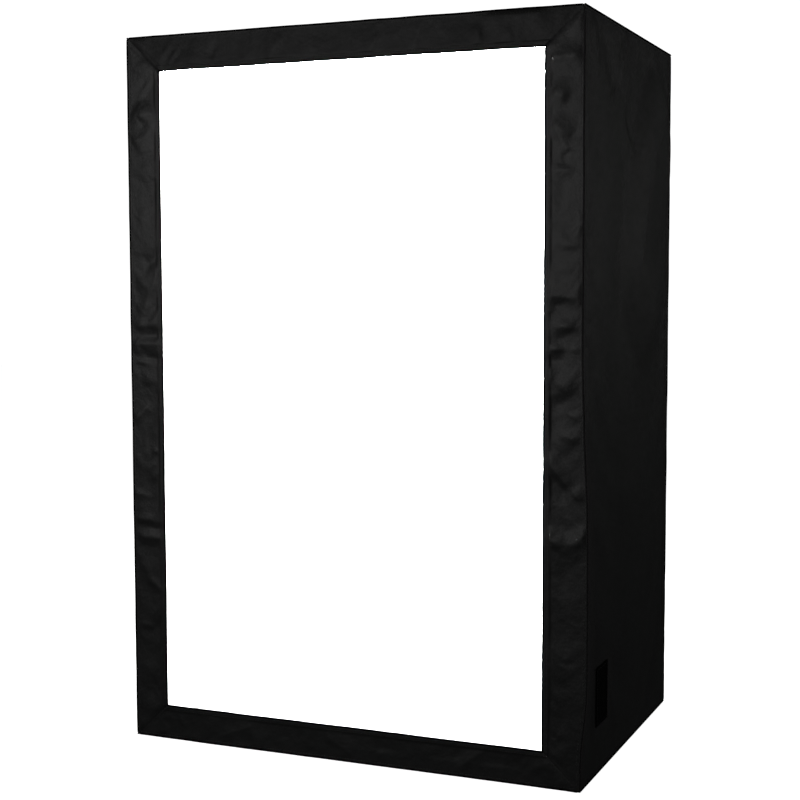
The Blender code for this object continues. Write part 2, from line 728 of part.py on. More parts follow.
def light_clip():
    """The left clip of a light bar: an open ring on the roof rail, and an arm with the pivot's eye.

    Its origin is on the rail's axis.
    """
    bore = TUBE_RADIUS + GAP
    half, arm_half = CLIP_WIDTH / 2, CLIP_ARM_WIDTH / 2
    ring = grip_outline((0, 0), bore, CLIP_WALL, CLIP_MOUTH_FACES, CLIP_MOUTH)
    grip = prism(ring, X_AXIS, Z_AXIS, Y_AXIS, -half, half)
    arm_near, arm_far = CLIP_ARM_FROM_RAIL, CLIP_ARM_FROM_RAIL + CLIP_ARM_THICK
    arm_top = -math.sqrt((bore + CLIP_WALL / 2) ** 2 - arm_near**2)
    arm = block((arm_near, -arm_half, -PIVOT_DROP), (arm_far, arm_half, arm_top))
    eye = moved(rod(arm_half, arm_near, arm_far, PIN_SIDES, X_AXIS), (0, 0, -PIVOT_DROP))
    bore_hole = rod(PIVOT_RADIUS + GAP, arm_near - arm_far, 2 * arm_far, PIN_SIDES, X_AXIS)
    return cut(joined(grip, arm, eye), moved(bore_hole, (0, 0, -PIVOT_DROP)))


def light_cap(with_inlet):
    """An end cap of a light bar, with its pivot pin facing -X. Its origin is on the tilt axis."""
    half_width, half_height = CAP_WIDTH / 2, CAP_HEIGHT / 2
    plate = block((0, -half_width, -half_height), (CAP_THICK, half_width, half_height), CAP_CHAMFER)
    pin_reach = GAP + CLIP_ARM_THICK + PIVOT_PAST_ARM
    cap = joined(plate, rod(PIVOT_RADIUS, -pin_reach, CAP_THICK / 2, PIN_SIDES, X_AXIS))
    if not with_inlet:
        return cap
    recess = turned(
        [
            (INLET_PIN_RADIUS, -CAP_THICK), (INLET_RADIUS, -CAP_THICK),
            (INLET_RADIUS, INLET_DEPTH), (INLET_PIN_RADIUS, INLET_DEPTH),
        ],
        PIN_SIDES,
        X_AXIS,
    )
    around_pin = (INLET_PIN_RADIUS + INLET_RADIUS) / 2
    pin_cut = rod(around_pin, -CAP_THICK, INLET_PIN_SETBACK, PIN_SIDES, X_AXIS)
    place = (0, INLET_OFFSET, 0)
    return cut(cap, moved(recess, place), moved(pin_cut, place))


def lamp_board(half_length):
    """The lamp board, with a row of small square lamps along its underside."""
    count = int(2 * half_length // LAMP_PITCH)
    first = -LAMP_PITCH * (count - 1) / 2
    lamps = [first + LAMP_PITCH * i for i in range(count)]
    half_lamp = LAMP_SIZE / 2
    edges = [lamp + side * half_lamp for lamp in lamps for side in (-1, 1)]
    across = [-BOARD_WIDTH / 2, -half_lamp, half_lamp, BOARD_WIDTH / 2]
    bm = bmesh.new()
    rows = [[bm.verts.new((x, y, 0)) for y in across] for x in [-half_length, *edges, half_length]]
    for near, far in zip(rows, rows[1:]):
        for j in range(3):
            bm.faces.new((near[j], near[j + 1], far[j + 1], far[j]))
    made = bmesh.ops.extrude_face_region(bm, geom=bm.faces[:], use_keep_orig=True)
    raised = [item for item in made["geom"] if isinstance(item, bmesh.types.BMVert)]
    bmesh.ops.translate(bm, verts=raised, vec=(0, 0, BOARD_THICK))
    bmesh.ops.recalc_face_normals(bm, faces=bm.faces)
    lamp_faces = []
    for face in bm.faces:
        centre = face.calc_center_median()
        if centre.z < BOARD_THICK / 4 and abs(centre.y) < half_lamp:
            if min(abs(centre.x - lamp) for lamp in lamps) < half_lamp:
                lamp_faces.append(face)
    for face in lamp_faces:
        lamp = bmesh.ops.extrude_discrete_faces(bm, faces=[face])["faces"]
        bmesh.ops.translate(bm, verts=lamp[0].verts, vec=(0, 0, -LAMP_HEIGHT))
    return finished(bm)


def diffuser(half_length):
    """A crowned strip that closes the channel's mouth from inside its two walls."""
    half = CHANNEL_WIDTH / 2 - CHANNEL_WALL - GAP
    across = [2 * i / DIFFUSER_FACETS - 1 for i in range(DIFFUSER_FACETS + 1)]
    crown = [(half * share, -DIFFUSER_CROWN * (1 - share**2)) for share in across]
    inner = [(y, z + DIFFUSER_THICK) for y, z in reversed(crown[1:-1])]
    lips = [(half, DIFFUSER_LIP), (half - DIFFUSER_THICK, DIFFUSER_LIP)]
    far_lips = [(DIFFUSER_THICK - half, DIFFUSER_LIP), (-half, DIFFUSER_LIP)]
    return prism(crown + lips + inner + far_lips, Y_AXIS, Z_AXIS, X_AXIS, -half_length, half_length)


def build_light(name, place_y, moulding, channel_metal, board_white, lens):
    carriage = empty(f"{name}_slide_axis", (0, place_y, RAIL_TOP))
    tilt = empty(f"{name}_tilt_axis", (0, place_y, PIVOT_Z), carriage)
    other_way = Matrix.Rotation(math.pi, 4, "Z")
    clip = light_clip()
    piece(f"{name}_clip_left", clip, moulding, (-RAIL_X, place_y, RAIL_TOP), carrier=carriage)
    piece(
        f"{name}_clip_right", clip.copy(), moulding, (RAIL_X, place_y, RAIL_TOP), other_way, carriage
    )
    piece(f"{name}_cap_left", light_cap(False), moulding, (-CAP_X, place_y, PIVOT_Z), carrier=tilt)
    piece(
        f"{name}_cap_right", light_cap(True), moulding, (CAP_X, place_y, PIVOT_Z), other_way, tilt
    )

    half_height, half_width = CHANNEL_HEIGHT / 2, CHANNEL_WIDTH / 2
    inner = half_width - CHANNEL_WALL
    web = half_height - CHANNEL_WALL
    section = [
        (-half_width, -half_height), (-inner, -half_height), (-inner, web), (inner, web),
        (inner, -half_height), (half_width, -half_height), (half_width, half_height),
        (-half_width, half_height),
    ]
    channel = prism(section, Y_AXIS, Z_AXIS, X_AXIS, -CHANNEL_HALF, CHANNEL_HALF)
    centre = (0, place_y, PIVOT_Z)
    piece(f"{name}_channel", channel, channel_metal, centre, carrier=tilt)
    board = lamp_board(CHANNEL_HALF - GAP)
    board_place = (0, place_y, PIVOT_Z + web - GAP - BOARD_THICK)
    piece(f"{name}_lamp_board", board, board_white, board_place, carrier=tilt)
    strip = diffuser(CHANNEL_HALF - GAP)
    piece(f"{name}_diffuser", strip, lens, (0, place_y, PIVOT_Z - half_height), carrier=tilt)


def main():
    clear_scene()
    cloth = material("black_laminated_cloth", (0.016, 0.016, 0.018), 0.55)
    mat = material("floor_mat_cloth", (0.020, 0.020, 0.022), 0.80)
    port_cloth = material("port_flap_pile", (0.008, 0.008, 0.009), 0.95)
    tube = material("white_coated_tube", (0.80, 0.80, 0.80), 0.35)
    moulding = material("white_nylon", (0.78, 0.78, 0.77), 0.50)
    steel = material("plated_steel", (0.55, 0.56, 0.58), 0.30, 1.0)
    zip_tape = material("zip_tape", (0.018, 0.018, 0.020), 0.75)
    zip_metal = material("black_zip_metal", (0.04, 0.04, 0.045), 0.35, 1.0)
    sheet_white = material("backdrop_white", (0.88, 0.88, 0.88), 0.45)
    bar_metal = material("bar_aluminium", (0.75, 0.76, 0.78), 0.35, 1.0)
    channel_metal = material("channel_aluminium", (0.72, 0.73, 0.75), 0.40, 1.0)
    board_white = material("lamp_board_white", (0.85, 0.85, 0.83), 0.50)
    lens = material("diffuser_white", (0.92, 0.92, 0.90), 0.30)

    build_cover(cloth, mat, port_cloth)
    build_frame(tube, moulding, steel)
    build_zip(zip_tape, zip_metal)
    build_backdrop(sheet_white, bar_metal, moulding)
    for name, from_front in LIGHT_PLACES.items():
        build_light(name, from_front - DEPTH / 2, moulding, channel_metal, board_white, lens)


main()
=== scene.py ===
# %% [markdown]
# # Dressing a tall light tent
#
# The frame that this lesson starts from is a finished construction in metres: steel tubes in moulded
# corner sockets, light bars on clips, a zip, and flat solids that hold the place of every piece of
# cloth. Here each piece of cloth is cut, let hang, creased, lined and sewn, and each hard piece gets
# its finish. X is the tent's width, Y runs from the open front to the rear, and Z is up.
#
# Nothing in the frame is moved. A new piece takes its place from the boxes of the solids that it
# covers, so a change in the construction moves its dress along with it.

import math

import bpy
import numpy as np
from mathutils import Matrix, Vector
from mathutils.bvhtree import BVHTree


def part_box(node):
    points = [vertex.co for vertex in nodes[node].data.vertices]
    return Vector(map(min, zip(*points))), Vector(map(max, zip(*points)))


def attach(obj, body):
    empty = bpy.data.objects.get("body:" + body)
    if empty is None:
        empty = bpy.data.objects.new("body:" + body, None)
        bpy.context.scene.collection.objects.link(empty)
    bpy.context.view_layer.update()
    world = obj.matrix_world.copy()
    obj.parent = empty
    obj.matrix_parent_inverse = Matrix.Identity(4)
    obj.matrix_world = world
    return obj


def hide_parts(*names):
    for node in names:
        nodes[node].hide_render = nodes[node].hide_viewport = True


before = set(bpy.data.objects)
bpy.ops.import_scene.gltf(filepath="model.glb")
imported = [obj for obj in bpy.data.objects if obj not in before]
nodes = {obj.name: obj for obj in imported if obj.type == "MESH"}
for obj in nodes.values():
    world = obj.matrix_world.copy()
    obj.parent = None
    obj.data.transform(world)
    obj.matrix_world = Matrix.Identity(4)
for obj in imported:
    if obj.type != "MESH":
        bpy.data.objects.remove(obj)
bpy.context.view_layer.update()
bpy.ops.object.select_all(action="DESELECT")

roof_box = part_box("roof")
LEFT, RIGHT, REAR, TOP = roof_box[0].x, roof_box[1].x, roof_box[1].y, roof_box[1].z
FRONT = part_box("front_band_left")[0].y
BAND_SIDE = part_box("front_band_left")[1].x - LEFT
BAND_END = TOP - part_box("front_band_top")[0].z
WIDTH, DEPTH = RIGHT - LEFT, REAR - FRONT
X, Y, Z = (1, 0, 0), (0, 1, 0), (0, 0, 1)
BACK_X, BACK_Y, DOWN = (-1, 0, 0), (0, -1, 0), (0, 0, -1)
print(f"tent {WIDTH:.3f} wide, {DEPTH:.3f} deep, {TOP:.3f} high, bands {BAND_SIDE:.3f} and {BAND_END:.3f}")

# %% [markdown]
# ## Camera
#
# The camera stands to the right of the open front, a little below the middle of the tent's height
# from three metres away, so the front and the right wall both show. A long lens keeps the uprights
# nearly parallel. Its place was worked out from the directions of the tent's straight edges.

# %% Camera
CAMERA_PLACE = (1.3005, -3.1253, 0.9851)
CAMERA_TURN = (math.radians(85.565), math.radians(0.121), math.radians(22.952))
CAMERA_LENS = 68.3

bpy.ops.object.camera_add(location=CAMERA_PLACE, rotation=CAMERA_TURN)
camera = bpy.context.object
camera.name = "camera"
camera.data.lens = CAMERA_LENS
bpy.context.scene.camera = camera
print(f"camera with a {CAMERA_LENS} mm lens, {Vector(CAMERA_PLACE).length:.2f} m from the origin")

# %% [markdown]
# ## Light
#
# Black cloth shows its shape only by what it reflects. One even white room would turn every fold the
# same grey, so the room itself stays dim and soft lights do the work. A key and a fill stand front
# left and fade towards the floor. Two lights stand on the right for the side wall, and two weak ones
# skim over it from the rear, which draws its long fold. One hangs overhead, and two light the rear.
# The last one stands inside the tent and makes its opening as bright as lamps at work do.
#
# The backdrop that the camera sees is white all the same, because the sky's colour for the camera
# and its light on the cloth are two separate strengths.

# %% World and soft lights
SKY_SEEN = 1.1
SKY_LIGHT = 0.018

# A light: its name and place, where it aims, its width, its height, and its watts
LIGHTS = [
    ("key_light", (-0.80, -2.5, 1.50), (-0.02, FRONT, 1.0), 1.2, 0.7, 20.5),
    ("fill_light", (-0.90, -2.9, 0.75), (0.0, FRONT, 0.6), 1.2, 0.7, 9.0),
    ("side_light", (2.3, -0.7, 2.7), (RIGHT, 0.05, 1.4), 0.9, 0.9, 4),
    ("right_light", (4.2, -0.3, 1.3), (RIGHT, 0.0, 0.9), 3.0, 2.0, 9),
    ("sheen_light", (2.8, 2.7, 1.4), (RIGHT, 0.1, 0.9), 0.7, 1.4, 3.3),
    ("sheen_low_light", (2.8, 2.7, 0.3), (RIGHT, 0.1, 0.6), 0.7, 0.6, 0.25),
    ("top_light", (-0.1, 0.35, 3.2), (-0.1, 0.20, 0.0), 1.2, 1.0, 50),
    ("rear_light_left", (-2.2, 1.6, 1.9), (LEFT, 0.1, 0.9), 1.2, 1.4, 32),
    ("rear_light_right", (-0.7, 2.7, 2.0), (0.0, REAR, 0.9), 1.4, 1.4, 36),
    ("inside_light", (0.0, -0.22, 0.72), (0.0, 0.3, 0.80), 0.6, 0.9, 160),
]


def softbox(name, place, aim, width, height, watts):
    """A rectangular soft light at a place, turned to face a point."""
    bpy.ops.object.light_add(type="AREA", location=place)
    light = bpy.context.object
    light.name = name
    light.rotation_euler = (Vector(aim) - Vector(place)).to_track_quat("-Z", "Y").to_euler()
    light.data.shape = "RECTANGLE"
    light.data.size, light.data.size_y = width, height
    light.data.energy = watts
    return light


world = bpy.data.worlds.new("studio")
world.use_nodes = True
bpy.context.scene.world = world
sky = world.node_tree.nodes["Background"]
sky.inputs["Color"].default_value = (1.0, 1.0, 1.0, 1.0)
seen = world.node_tree.nodes.new("ShaderNodeLightPath")
level = world.node_tree.nodes.new("ShaderNodeMapRange")
level.inputs["To Min"].default_value = SKY_LIGHT
level.inputs["To Max"].default_value = SKY_SEEN
world.node_tree.links.new(seen.outputs["Is Camera Ray"], level.inputs["Value"])
world.node_tree.links.new(level.outputs["Result"], sky.inputs["Strength"])

lights = [softbox(*row) for row in LIGHTS]
lights[-1].visible_camera = False
bpy.context.scene.view_settings.view_transform = "Standard"
print(f"{len(lights)} soft lights")

# %% [markdown]
# ## How finishes are written
#
# A finish is a small net of nodes round one principled shader. This helper keeps it short: it adds a
# node and wires or sets its sockets in one line, draws noise of a size in metres, spreads it over
# numbers or greys, and wires the results to the shader. Numbers that are the same all over a surface
# are set on the shader itself.

# %% Helper for finishes
class Finish:
    """A new material round one principled shader, and the patterns that it can be given."""

    def __init__(self, name, constants):
        self.material = bpy.data.materials.new(name)
        self.material.use_nodes = True
        self.tree = self.material.node_tree
        self.shader = self.tree.nodes["Principled BSDF"]
        for key, value in constants.items():
            self.shader.inputs[key].default_value = value
        self.places = self.node("TexCoord").outputs

    def node(self, kind, sockets=None, **settings):
        """A node with its settings made and its sockets wired, or set where a plain value is given."""
        made = self.tree.nodes.new("ShaderNode" + kind)
        for key, value in settings.items():
            setattr(made, key, value)
        for key, value in (sockets or {}).items():
            if isinstance(value, bpy.types.NodeSocket):
                self.tree.links.new(value, made.inputs[key])
            else:
                made.inputs[key].default_value = value
        return made

    def spread(self, value, low, high):
        """A value from 0 to 1, spread over a range."""
        return self.node("MapRange", {"Value": value, "To Min": low, "To Max": high}).outputs["Result"]

    def shades(self, value, *stops):
        """A value from 0 to 1, turned into colours by two stops: a position, and a grey or a colour."""
        ramp = self.node("ValToRGB", {"Fac": value})
        for element, (position, shade) in zip(ramp.color_ramp.elements, stops):
            element.position = position
            element.color = (*(shade if isinstance(shade, tuple) else (shade,) * 3), 1.0)
        return ramp.outputs["Color"]

    def cloudy(self, size, detail=3.0, roughness=0.5, place=None):
        """Noise from 0 to 1 whose blotches are about `size` metres across."""
        sockets = {"Vector": place or self.places["Object"], "Scale": 1 / size}
        sockets |= {"Detail": detail, "Roughness": roughness}
        return self.node("TexNoise", sockets).outputs["Fac"]

    def raised(self, height, depth, below=None):
        """A bump of `depth` metres, laid over another bump."""
        sockets = {"Height": height, "Distance": depth, "Strength": 1.0}
        if below:
            sockets["Normal"] = below
        return self.node("Bump", sockets).outputs["Normal"]

    def wired(self, colour=None, roughness=None, bump=None, glow=None):
        """Wires patterns to the shader, and gives the finished material."""
        patterns = {"Base Color": colour, "Roughness": roughness, "Normal": bump, "Emission Color": glow}
        for key, pattern in patterns.items():
            if pattern:
                self.tree.links.new(pattern, self.shader.inputs[key])
        return self.material


print("finishes are written with", ", ".join(n for n in vars(Finish) if n[0] != "_"))

# %% [markdown]
# ## Cloth finishes
#
# The cover is black polyester with a laminated face: a fine plain weave that one sees only from
# close by, a faint satin gloss, and the small crinkles of cloth that was folded in a bag. Its weave
# reads the cloth's own UV map, which is laid out in metres, so the threads run true on every panel.
# Where a crease was pressed in, the face is rubbed a little lighter: each panel carries that as an
# attribute.
#
# The top band has its own copy of the cover: its darker base colour is painted shade, which makes
# the top band darker than the side bands, and it has less gloss. The large panels are drawn tighter
# than the bands, so their cloth is crinkled less. The lining, the napped cloth of the port flaps and
# the ribbed binding follow the same plan.

# %% Cloth finishes
WAVE_TURNS = 20.0
COVER_THREAD = 0.0006
LINING_THREAD = 0.0008
RIB_PITCH = 0.0012
WEAVE_RAISED = 0.00004
BAND_CRINKLE = 0.0011
WALL_CRINKLE = 0.0004
RUBBED_SHADE = (0.034, 0.034, 0.034, 1.0)


def ridges(look, pitch, along):
    """Even ridges, a pitch apart on the cloth's UV map. The node draws WAVE_TURNS of them to 2 pi."""
    sockets = {"Vector": look.places["UV"], "Scale": 2 * math.pi / (WAVE_TURNS * pitch)}
    return look.node("TexWave", sockets, bands_direction=along).outputs["Fac"]


def plain_weave(look, thread):
    """The height of warp and weft threads that pass over each other in turn."""
    over = look.node("TexChecker", {"Vector": look.places["UV"], "Scale": 1 / thread}).outputs["Fac"]
    sockets = {0: over, 2: ridges(look, thread, "X"), 3: ridges(look, thread, "Y")}
    return look.node("Mix", sockets, data_type="FLOAT").outputs[0]


def black_cover_cloth(name, dark, light, roughness, gloss, crinkled=BAND_CRINKLE):
    """Laminated polyester: woven, faintly satin, crinkled, rubbed lighter along pressed creases."""
    look = Finish(name, {"Specular IOR Level": gloss, "Sheen Weight": 0.05, "Sheen Roughness": 0.5})
    weave = plain_weave(look, COVER_THREAD)
    dust = look.cloudy(0.11, 5.0, 0.6)
    rubbed = look.node("Attribute", attribute_name="rubbed").outputs["Fac"]
    base = look.shades(dust, (0.30, dark), (0.72, light))
    worn = look.node("Mix", {0: rubbed, 6: base, 7: RUBBED_SHADE}, data_type="RGBA").outputs[2]
    shaded = {0: 1.0, 6: worn, 7: look.shades(weave, (0.0, 0.72), (1.0, 1.0))}
    tinted = look.node("Mix", shaded, data_type="RGBA", blend_type="MULTIPLY").outputs[2]
    crumpled = look.raised(look.cloudy(0.016, 4.0, 0.62), crinkled)
    return look.wired(
        tinted, look.spread(dust, roughness - 0.07, roughness + 0.09),
        look.raised(weave, WEAVE_RAISED, crumpled))


def white_cloth(name, shade, roughness, weave_raised):
    """White cloth or coated sheet with a fine weave and faint shadows of handling."""
    look = Finish(name, {"Specular IOR Level": 0.3, "Sheen Weight": 0.05})
    handled = look.cloudy(0.16, 4.0, 0.6)
    soft = look.raised(look.cloudy(0.05), 0.0006)
    return look.wired(
        look.shades(handled, (0.28, shade * 0.965), (0.6, shade)),
        look.spread(handled, roughness + 0.06, roughness - 0.06),
        look.raised(plain_weave(look, LINING_THREAD), weave_raised, soft))


def napped_cloth(name, shade):
    """Brushed loop cloth: short hairs that hide the weave and take away the gloss."""
    look = Finish(
        name, {"Specular IOR Level": 0.0, "Sheen Weight": 0.01, "Sheen Roughness": 0.7, "Roughness": 0.95})
    matted = look.cloudy(0.012, 3.0, 0.6)
    hairs = look.raised(look.cloudy(0.0012, 3.0, 0.7), 0.0004, look.raised(matted, 0.0006))
    return look.wired(look.shades(matted, (0.3, shade * 0.6), (0.7, shade * 1.3)), bump=hairs)


def ribbed_tape(name, shade, along="X", gloss=0.0):
    """Woven binding tape: fine ribs and a dull sheen. `along` names the UV axis that the tape runs on."""
    look = Finish(name, {"Specular IOR Level": gloss, "Sheen Weight": 0.02})
    ribs = ridges(look, RIB_PITCH, along)
    rubbed = look.cloudy(0.02, 4.0, 0.6)
    return look.wired(
        look.shades(rubbed, (0.3, shade * 0.7), (0.7, shade * 1.35)), look.spread(ribs, 0.75, 0.55),
        look.raised(ribs, 0.00018, look.raised(rubbed, 0.0005)))


cover_black = black_cover_cloth("cover_cloth_black", 0.0058, 0.0088, 0.46, 0.22)
cover_wall = black_cover_cloth("cover_wall_black", 0.0058, 0.0088, 0.43, 0.20, WALL_CRINKLE)
# The top band's copy of the cover: a darker base colour as painted shade, and less gloss
cover_top_painted_shade = black_cover_cloth("cover_cloth_top_painted_shade", 0.0046, 0.0070, 0.48, 0.145)
lining_white = white_cloth("lining_cloth_white", 0.86, 0.7, 0.00006)
sheet_white = white_cloth("sweep_sheet_white", 0.88, 0.6, 0.00002)
flap_black = napped_cloth("port_flap_loop_cloth", 0.0040)
hook_strip = napped_cloth("hook_strip_black", 0.006)
binding_black = ribbed_tape("binding_tape_black", 0.0016)
piping_black = ribbed_tape("piping_black", 0.0012)
# A lighter, glossier copy of the piping for the front right upright: a painted highlight
piping_painted_highlight = ribbed_tape("piping_painted_highlight", 0.0060, gloss=0.18)
zip_tape_black = ribbed_tape("zip_tape_black", 0.008, "Y", 0.12)
print("cloth finishes:", ", ".join(m.name for m in bpy.data.materials))

# %% [markdown]
# ## Working by hand, in code
#
# An operator acts on all that is selected, so a primitive is added with nothing else selected, and
# the faces, edges or points that an operator shall act on are then picked by a test on their place.

# %% Helpers for meshes
def add(primitive, **settings):
    """Adds a primitive, with nothing else selected."""
    bpy.ops.object.select_all(action="DESELECT")
    primitive(**settings)
    return bpy.context.object


def mode(name):
    bpy.ops.object.mode_set(mode=name)


def pick(obj, kind, test):
    """Opens a piece in edit mode, with the faces, edges or points selected that pass a test."""
    mode("EDIT")
    bpy.ops.mesh.select_mode(type=kind)
    bpy.ops.mesh.select_all(action="DESELECT")
    mode("OBJECT")
    for part in {"FACE": obj.data.polygons, "EDGE": obj.data.edges, "VERT": obj.data.vertices}[kind]:
        part.select = test(part)
    mode("EDIT")


def mesh_points(mesh):
    points = np.empty(len(mesh.vertices) * 3)
    mesh.vertices.foreach_get("co", points)
    return points.reshape(-1, 3)


def set_points(mesh, points):
    mesh.vertices.foreach_set("co", points.ravel())
    mesh.update()


def face_corners(mesh):
    """The number of the point at each corner of each face."""
    corners = np.empty(len(mesh.loops), dtype=np.int32)
    mesh.loops.foreach_get("vertex_index", corners)
    return corners


# %% [markdown]
# ## Cutting a panel
#
# Every wall of the tent is one flat piece of cloth, sewn in at its border. A grid is the right start:
# its squares are the cloth, which the simulation can bend and a crease can be pressed into. The lines
# of the grid don't have to be even. Extra lines run where a hem, a zip or a port needs a clean edge,
# and the mitred bands of the front squeeze their rows towards the corner seams.

# %% Panels of cloth
def ease(low, high, value):
    """0 below low, 1 above high, and smooth in between, for numbers and arrays."""
    t = np.clip((value - low) / (high - low), 0, 1)
    return t * t * (3 - 2 * t)


def beyond(u, v, area):
    """How far each place is outside an area, which is given as its low and high u and v."""
    aside = np.maximum(np.maximum(area[0] - u, u - area[1]), 0)
    above = np.maximum(np.maximum(area[2] - v, v - area[3]), 0)
    return np.hypot(aside, above)


def grid_lines(length, pitch, marks=()):
    """Places from 0 to length, about a pitch apart, with a line on each mark."""
    stops = [0.0, *sorted(marks), length]
    lines = [0.0]
    for start, end in zip(stops, stops[1:]):
        parts = max(1, round((end - start) / pitch))
        lines += [start + (end - start) * (i + 1) / parts for i in range(parts)]
    return np.array(lines)


class Panel:
    """A flat piece of cloth: u runs across it and v up it, in metres from its first corner.

    across and up are those directions in the tent, and out is the way that the outer face looks.
    window is cut out of it. taper is how much shorter each end is at the far edge of a mitred band.
    """

    def __init__(self, name, corner, across, up, u_lines, v_lines, window=None, taper=0.0):
        columns, rows = len(u_lines) - 1, len(v_lines) - 1
        self.obj = add(bpy.ops.mesh.primitive_grid_add, x_subdivisions=columns, y_subdivisions=rows, size=1.0)
        mesh = self.obj.data
        self.obj.name = mesh.name = name
        flat = mesh_points(mesh)
        u = u_lines[np.rint((flat[:, 0] + 0.5) * columns).astype(int)]
        v = v_lines[np.rint((flat[:, 1] + 0.5) * rows).astype(int)]
        self.width, self.height = u_lines[-1], v_lines[-1]
        drawn_in = taper * v / self.height
        u = drawn_in + u * (1 - 2 * drawn_in / self.width)
        set_points(mesh, np.column_stack([u, v, np.zeros(len(u))]))
        if window:
            low_u, high_u, low_v, high_v = window
            pick(self.obj, "FACE", lambda f: low_u < f.center.x < high_u and low_v < f.center.y < high_v)
            bpy.ops.mesh.delete(type="FACE")
            mode("OBJECT")
        flat = mesh_points(mesh)
        self.u, self.v = flat[:, 0], flat[:, 1]
        across, up = np.array(across, float), np.array(up, float)
        self.out = np.cross(across, up)
        self.flat = np.array(corner) + np.outer(self.u, across) + np.outer(self.v, up)
        self.shift = np.zeros_like(self.flat)
        self.lay(self.flat)
        # The UV map is in metres, so that a thread has the same size on every panel
        layout = np.column_stack([self.u, self.v])[face_corners(mesh)]
        mesh.uv_layers.active.data.foreach_set("uv", layout.ravel())

    def lay(self, points):
        set_points(self.obj.data, points)

    def raised_by(self, height):
        """The moves that lift each point by a height, away from the panel."""
        return height[:, None] * self.out

    def stands_out(self):
        """How far hanging has moved each point away from the panel."""
        return (self.shift * self.out).sum(axis=1)

    def from_border(self):
        """How far each point is from the panel's sewn border."""
        return np.minimum.reduce([self.u, self.width - self.u, self.v, self.height - self.v])

    def rub(self, worn):
        """Keeps how far the face is rubbed at each point, for the finish to read."""
        rubbed = self.obj.data.attributes.new("rubbed", "FLOAT", "POINT")
        rubbed.data.foreach_set("value", worn.astype(np.float32))


# %% [markdown]
# ## Letting the cloth hang
#
# A sewn panel is never quite flat: it is cut a hair larger than the frame that stretches it, so it
# bellies and buckles between its seams. That is what a cloth simulation finds by itself. The border
# is pinned, the cloth is grown by a fraction of a percent, gravity pulls, and after a few steps the
# shape is kept. A limit then holds it off the tubes inside, because a panel can stand proud but can't
# pass through the frame.

# %% Cloth simulation
HANG_STEPS = 10
TUBE_ZONE = 0.030
INWARD_AT_TUBES = 0.0009
INWARD_FREE = 0.0055
OUTWARD_MOST = 0.020
SEWN_EDGE = 0.006


def let_hang(panel, held, slack, ripple, seed, stiffness=6.0):
    """Simulates a panel with some spare cloth. `held` is 1 where it is sewn down and 0 where it is free."""
    scene = bpy.context.scene
    start = ripple * (1 - held) * noise_at(panel.u, panel.v, 0.06, seed)
    panel.lay(panel.flat + panel.raised_by(start))
    group = panel.obj.vertex_groups.new(name="sewn_down")
    for index, weight in enumerate(held):
        if weight > 0.001:
            group.add([index], float(weight), "REPLACE")
    hanging = panel.obj.modifiers.new("hang", "CLOTH")
    cloth = hanging.settings
    cloth.quality = 5
    cloth.mass = 0.15
    cloth.tension_stiffness = cloth.compression_stiffness = 25
    cloth.shear_stiffness = 12
    cloth.bending_stiffness = stiffness
    cloth.air_damping = 2.0
    cloth.shrink_min = -slack
    cloth.vertex_group_mass = "sewn_down"
    hanging.collision_settings.use_collision = False
    hanging.point_cache.frame_start, hanging.point_cache.frame_end = 1, HANG_STEPS
    for step in range(1, HANG_STEPS + 1):
        scene.frame_set(step)
    bpy.context.view_layer.objects.active = panel.obj
    bpy.ops.object.modifier_apply(modifier=hanging.name)
    scene.frame_set(1)
    panel.obj.vertex_groups.clear()
    panel.shift = mesh_points(panel.obj.data) - panel.flat
    moved = panel.stands_out()
    print(f"{panel.obj.name}: hung {moved.min() * 1000:.1f} to {moved.max() * 1000:.1f} mm")


def shape_panel(panel, relief, calm=1.0, hung=1.0):
    """Adds a relief to what hanging did, and holds the sum off the tubes and off what is fastened."""
    moved = panel.stands_out()
    in_plane = panel.shift - panel.raised_by(moved)
    height = moved * hung + relief
    border = panel.from_border()
    inward = INWARD_AT_TUBES + INWARD_FREE * ease(TUBE_ZONE, 2 * TUBE_ZONE, border)
    outward = OUTWARD_MOST * np.tanh(height / OUTWARD_MOST)
    height = np.where(height < 0, -inward * np.tanh(-height / inward), outward)
    height = height * ease(0.0, SEWN_EDGE, border) * calm
    panel.lay(panel.flat + in_plane + panel.raised_by(height))


# %% [markdown]
# ## Creases and folds
#
# The cover is stored folded up, and it keeps the memory of it: straight lines across the bands, with
# a sharp edge and slopes that fade on both sides. Corners pull short folds into the cloth, and slack
# cloth bubbles between two creases. Each of these is one small formula over a panel's u and v, so
# they can be added up. Where creases are sharp, the laminate is rubbed, which the finish reads.

# %% Reliefs
EVEN_SLOPE = 1.22
FOLD_ENDS = 0.012


def fold(u, v, u0, v0, u1, v1, height, towards, back=None):
    """A crease along a line, with slopes that fade on both sides of its sharp edge.

    It is `towards` wide on the side of the larger u, and `back` wide on the other, or the same.
    """
    length = math.hypot(u1 - u0, v1 - v0)
    along = ((u - u0) * (u1 - u0) + (v - v0) * (v1 - v0)) / length
    aside = ((u - u0) * (v1 - v0) - (v - v0) * (u1 - u0)) / length * (1 if v1 >= v0 else -1)
    width = np.where(aside > 0, towards, back or towards)
    slope = np.clip(1 - np.abs(aside) / width, 0, 1) ** EVEN_SLOPE
    taper = min(FOLD_ENDS, length / 3)
    return height * slope * ease(-taper, taper, along) * ease(-taper, taper, length - along)


def swell(u, v, u0, v0, long, wide, height, turn=0.0):
    """A soft bump or hollow round a place, with its length and width, turned by an angle in degrees."""
    c, s = math.cos(math.radians(turn)), math.sin(math.radians(turn))
    du, dv = u - u0, v - v0
    a, b = (du * c + dv * s) / long, (dv * c - du * s) / wide
    return height * np.exp(-2.5 * (a * a + b * b))


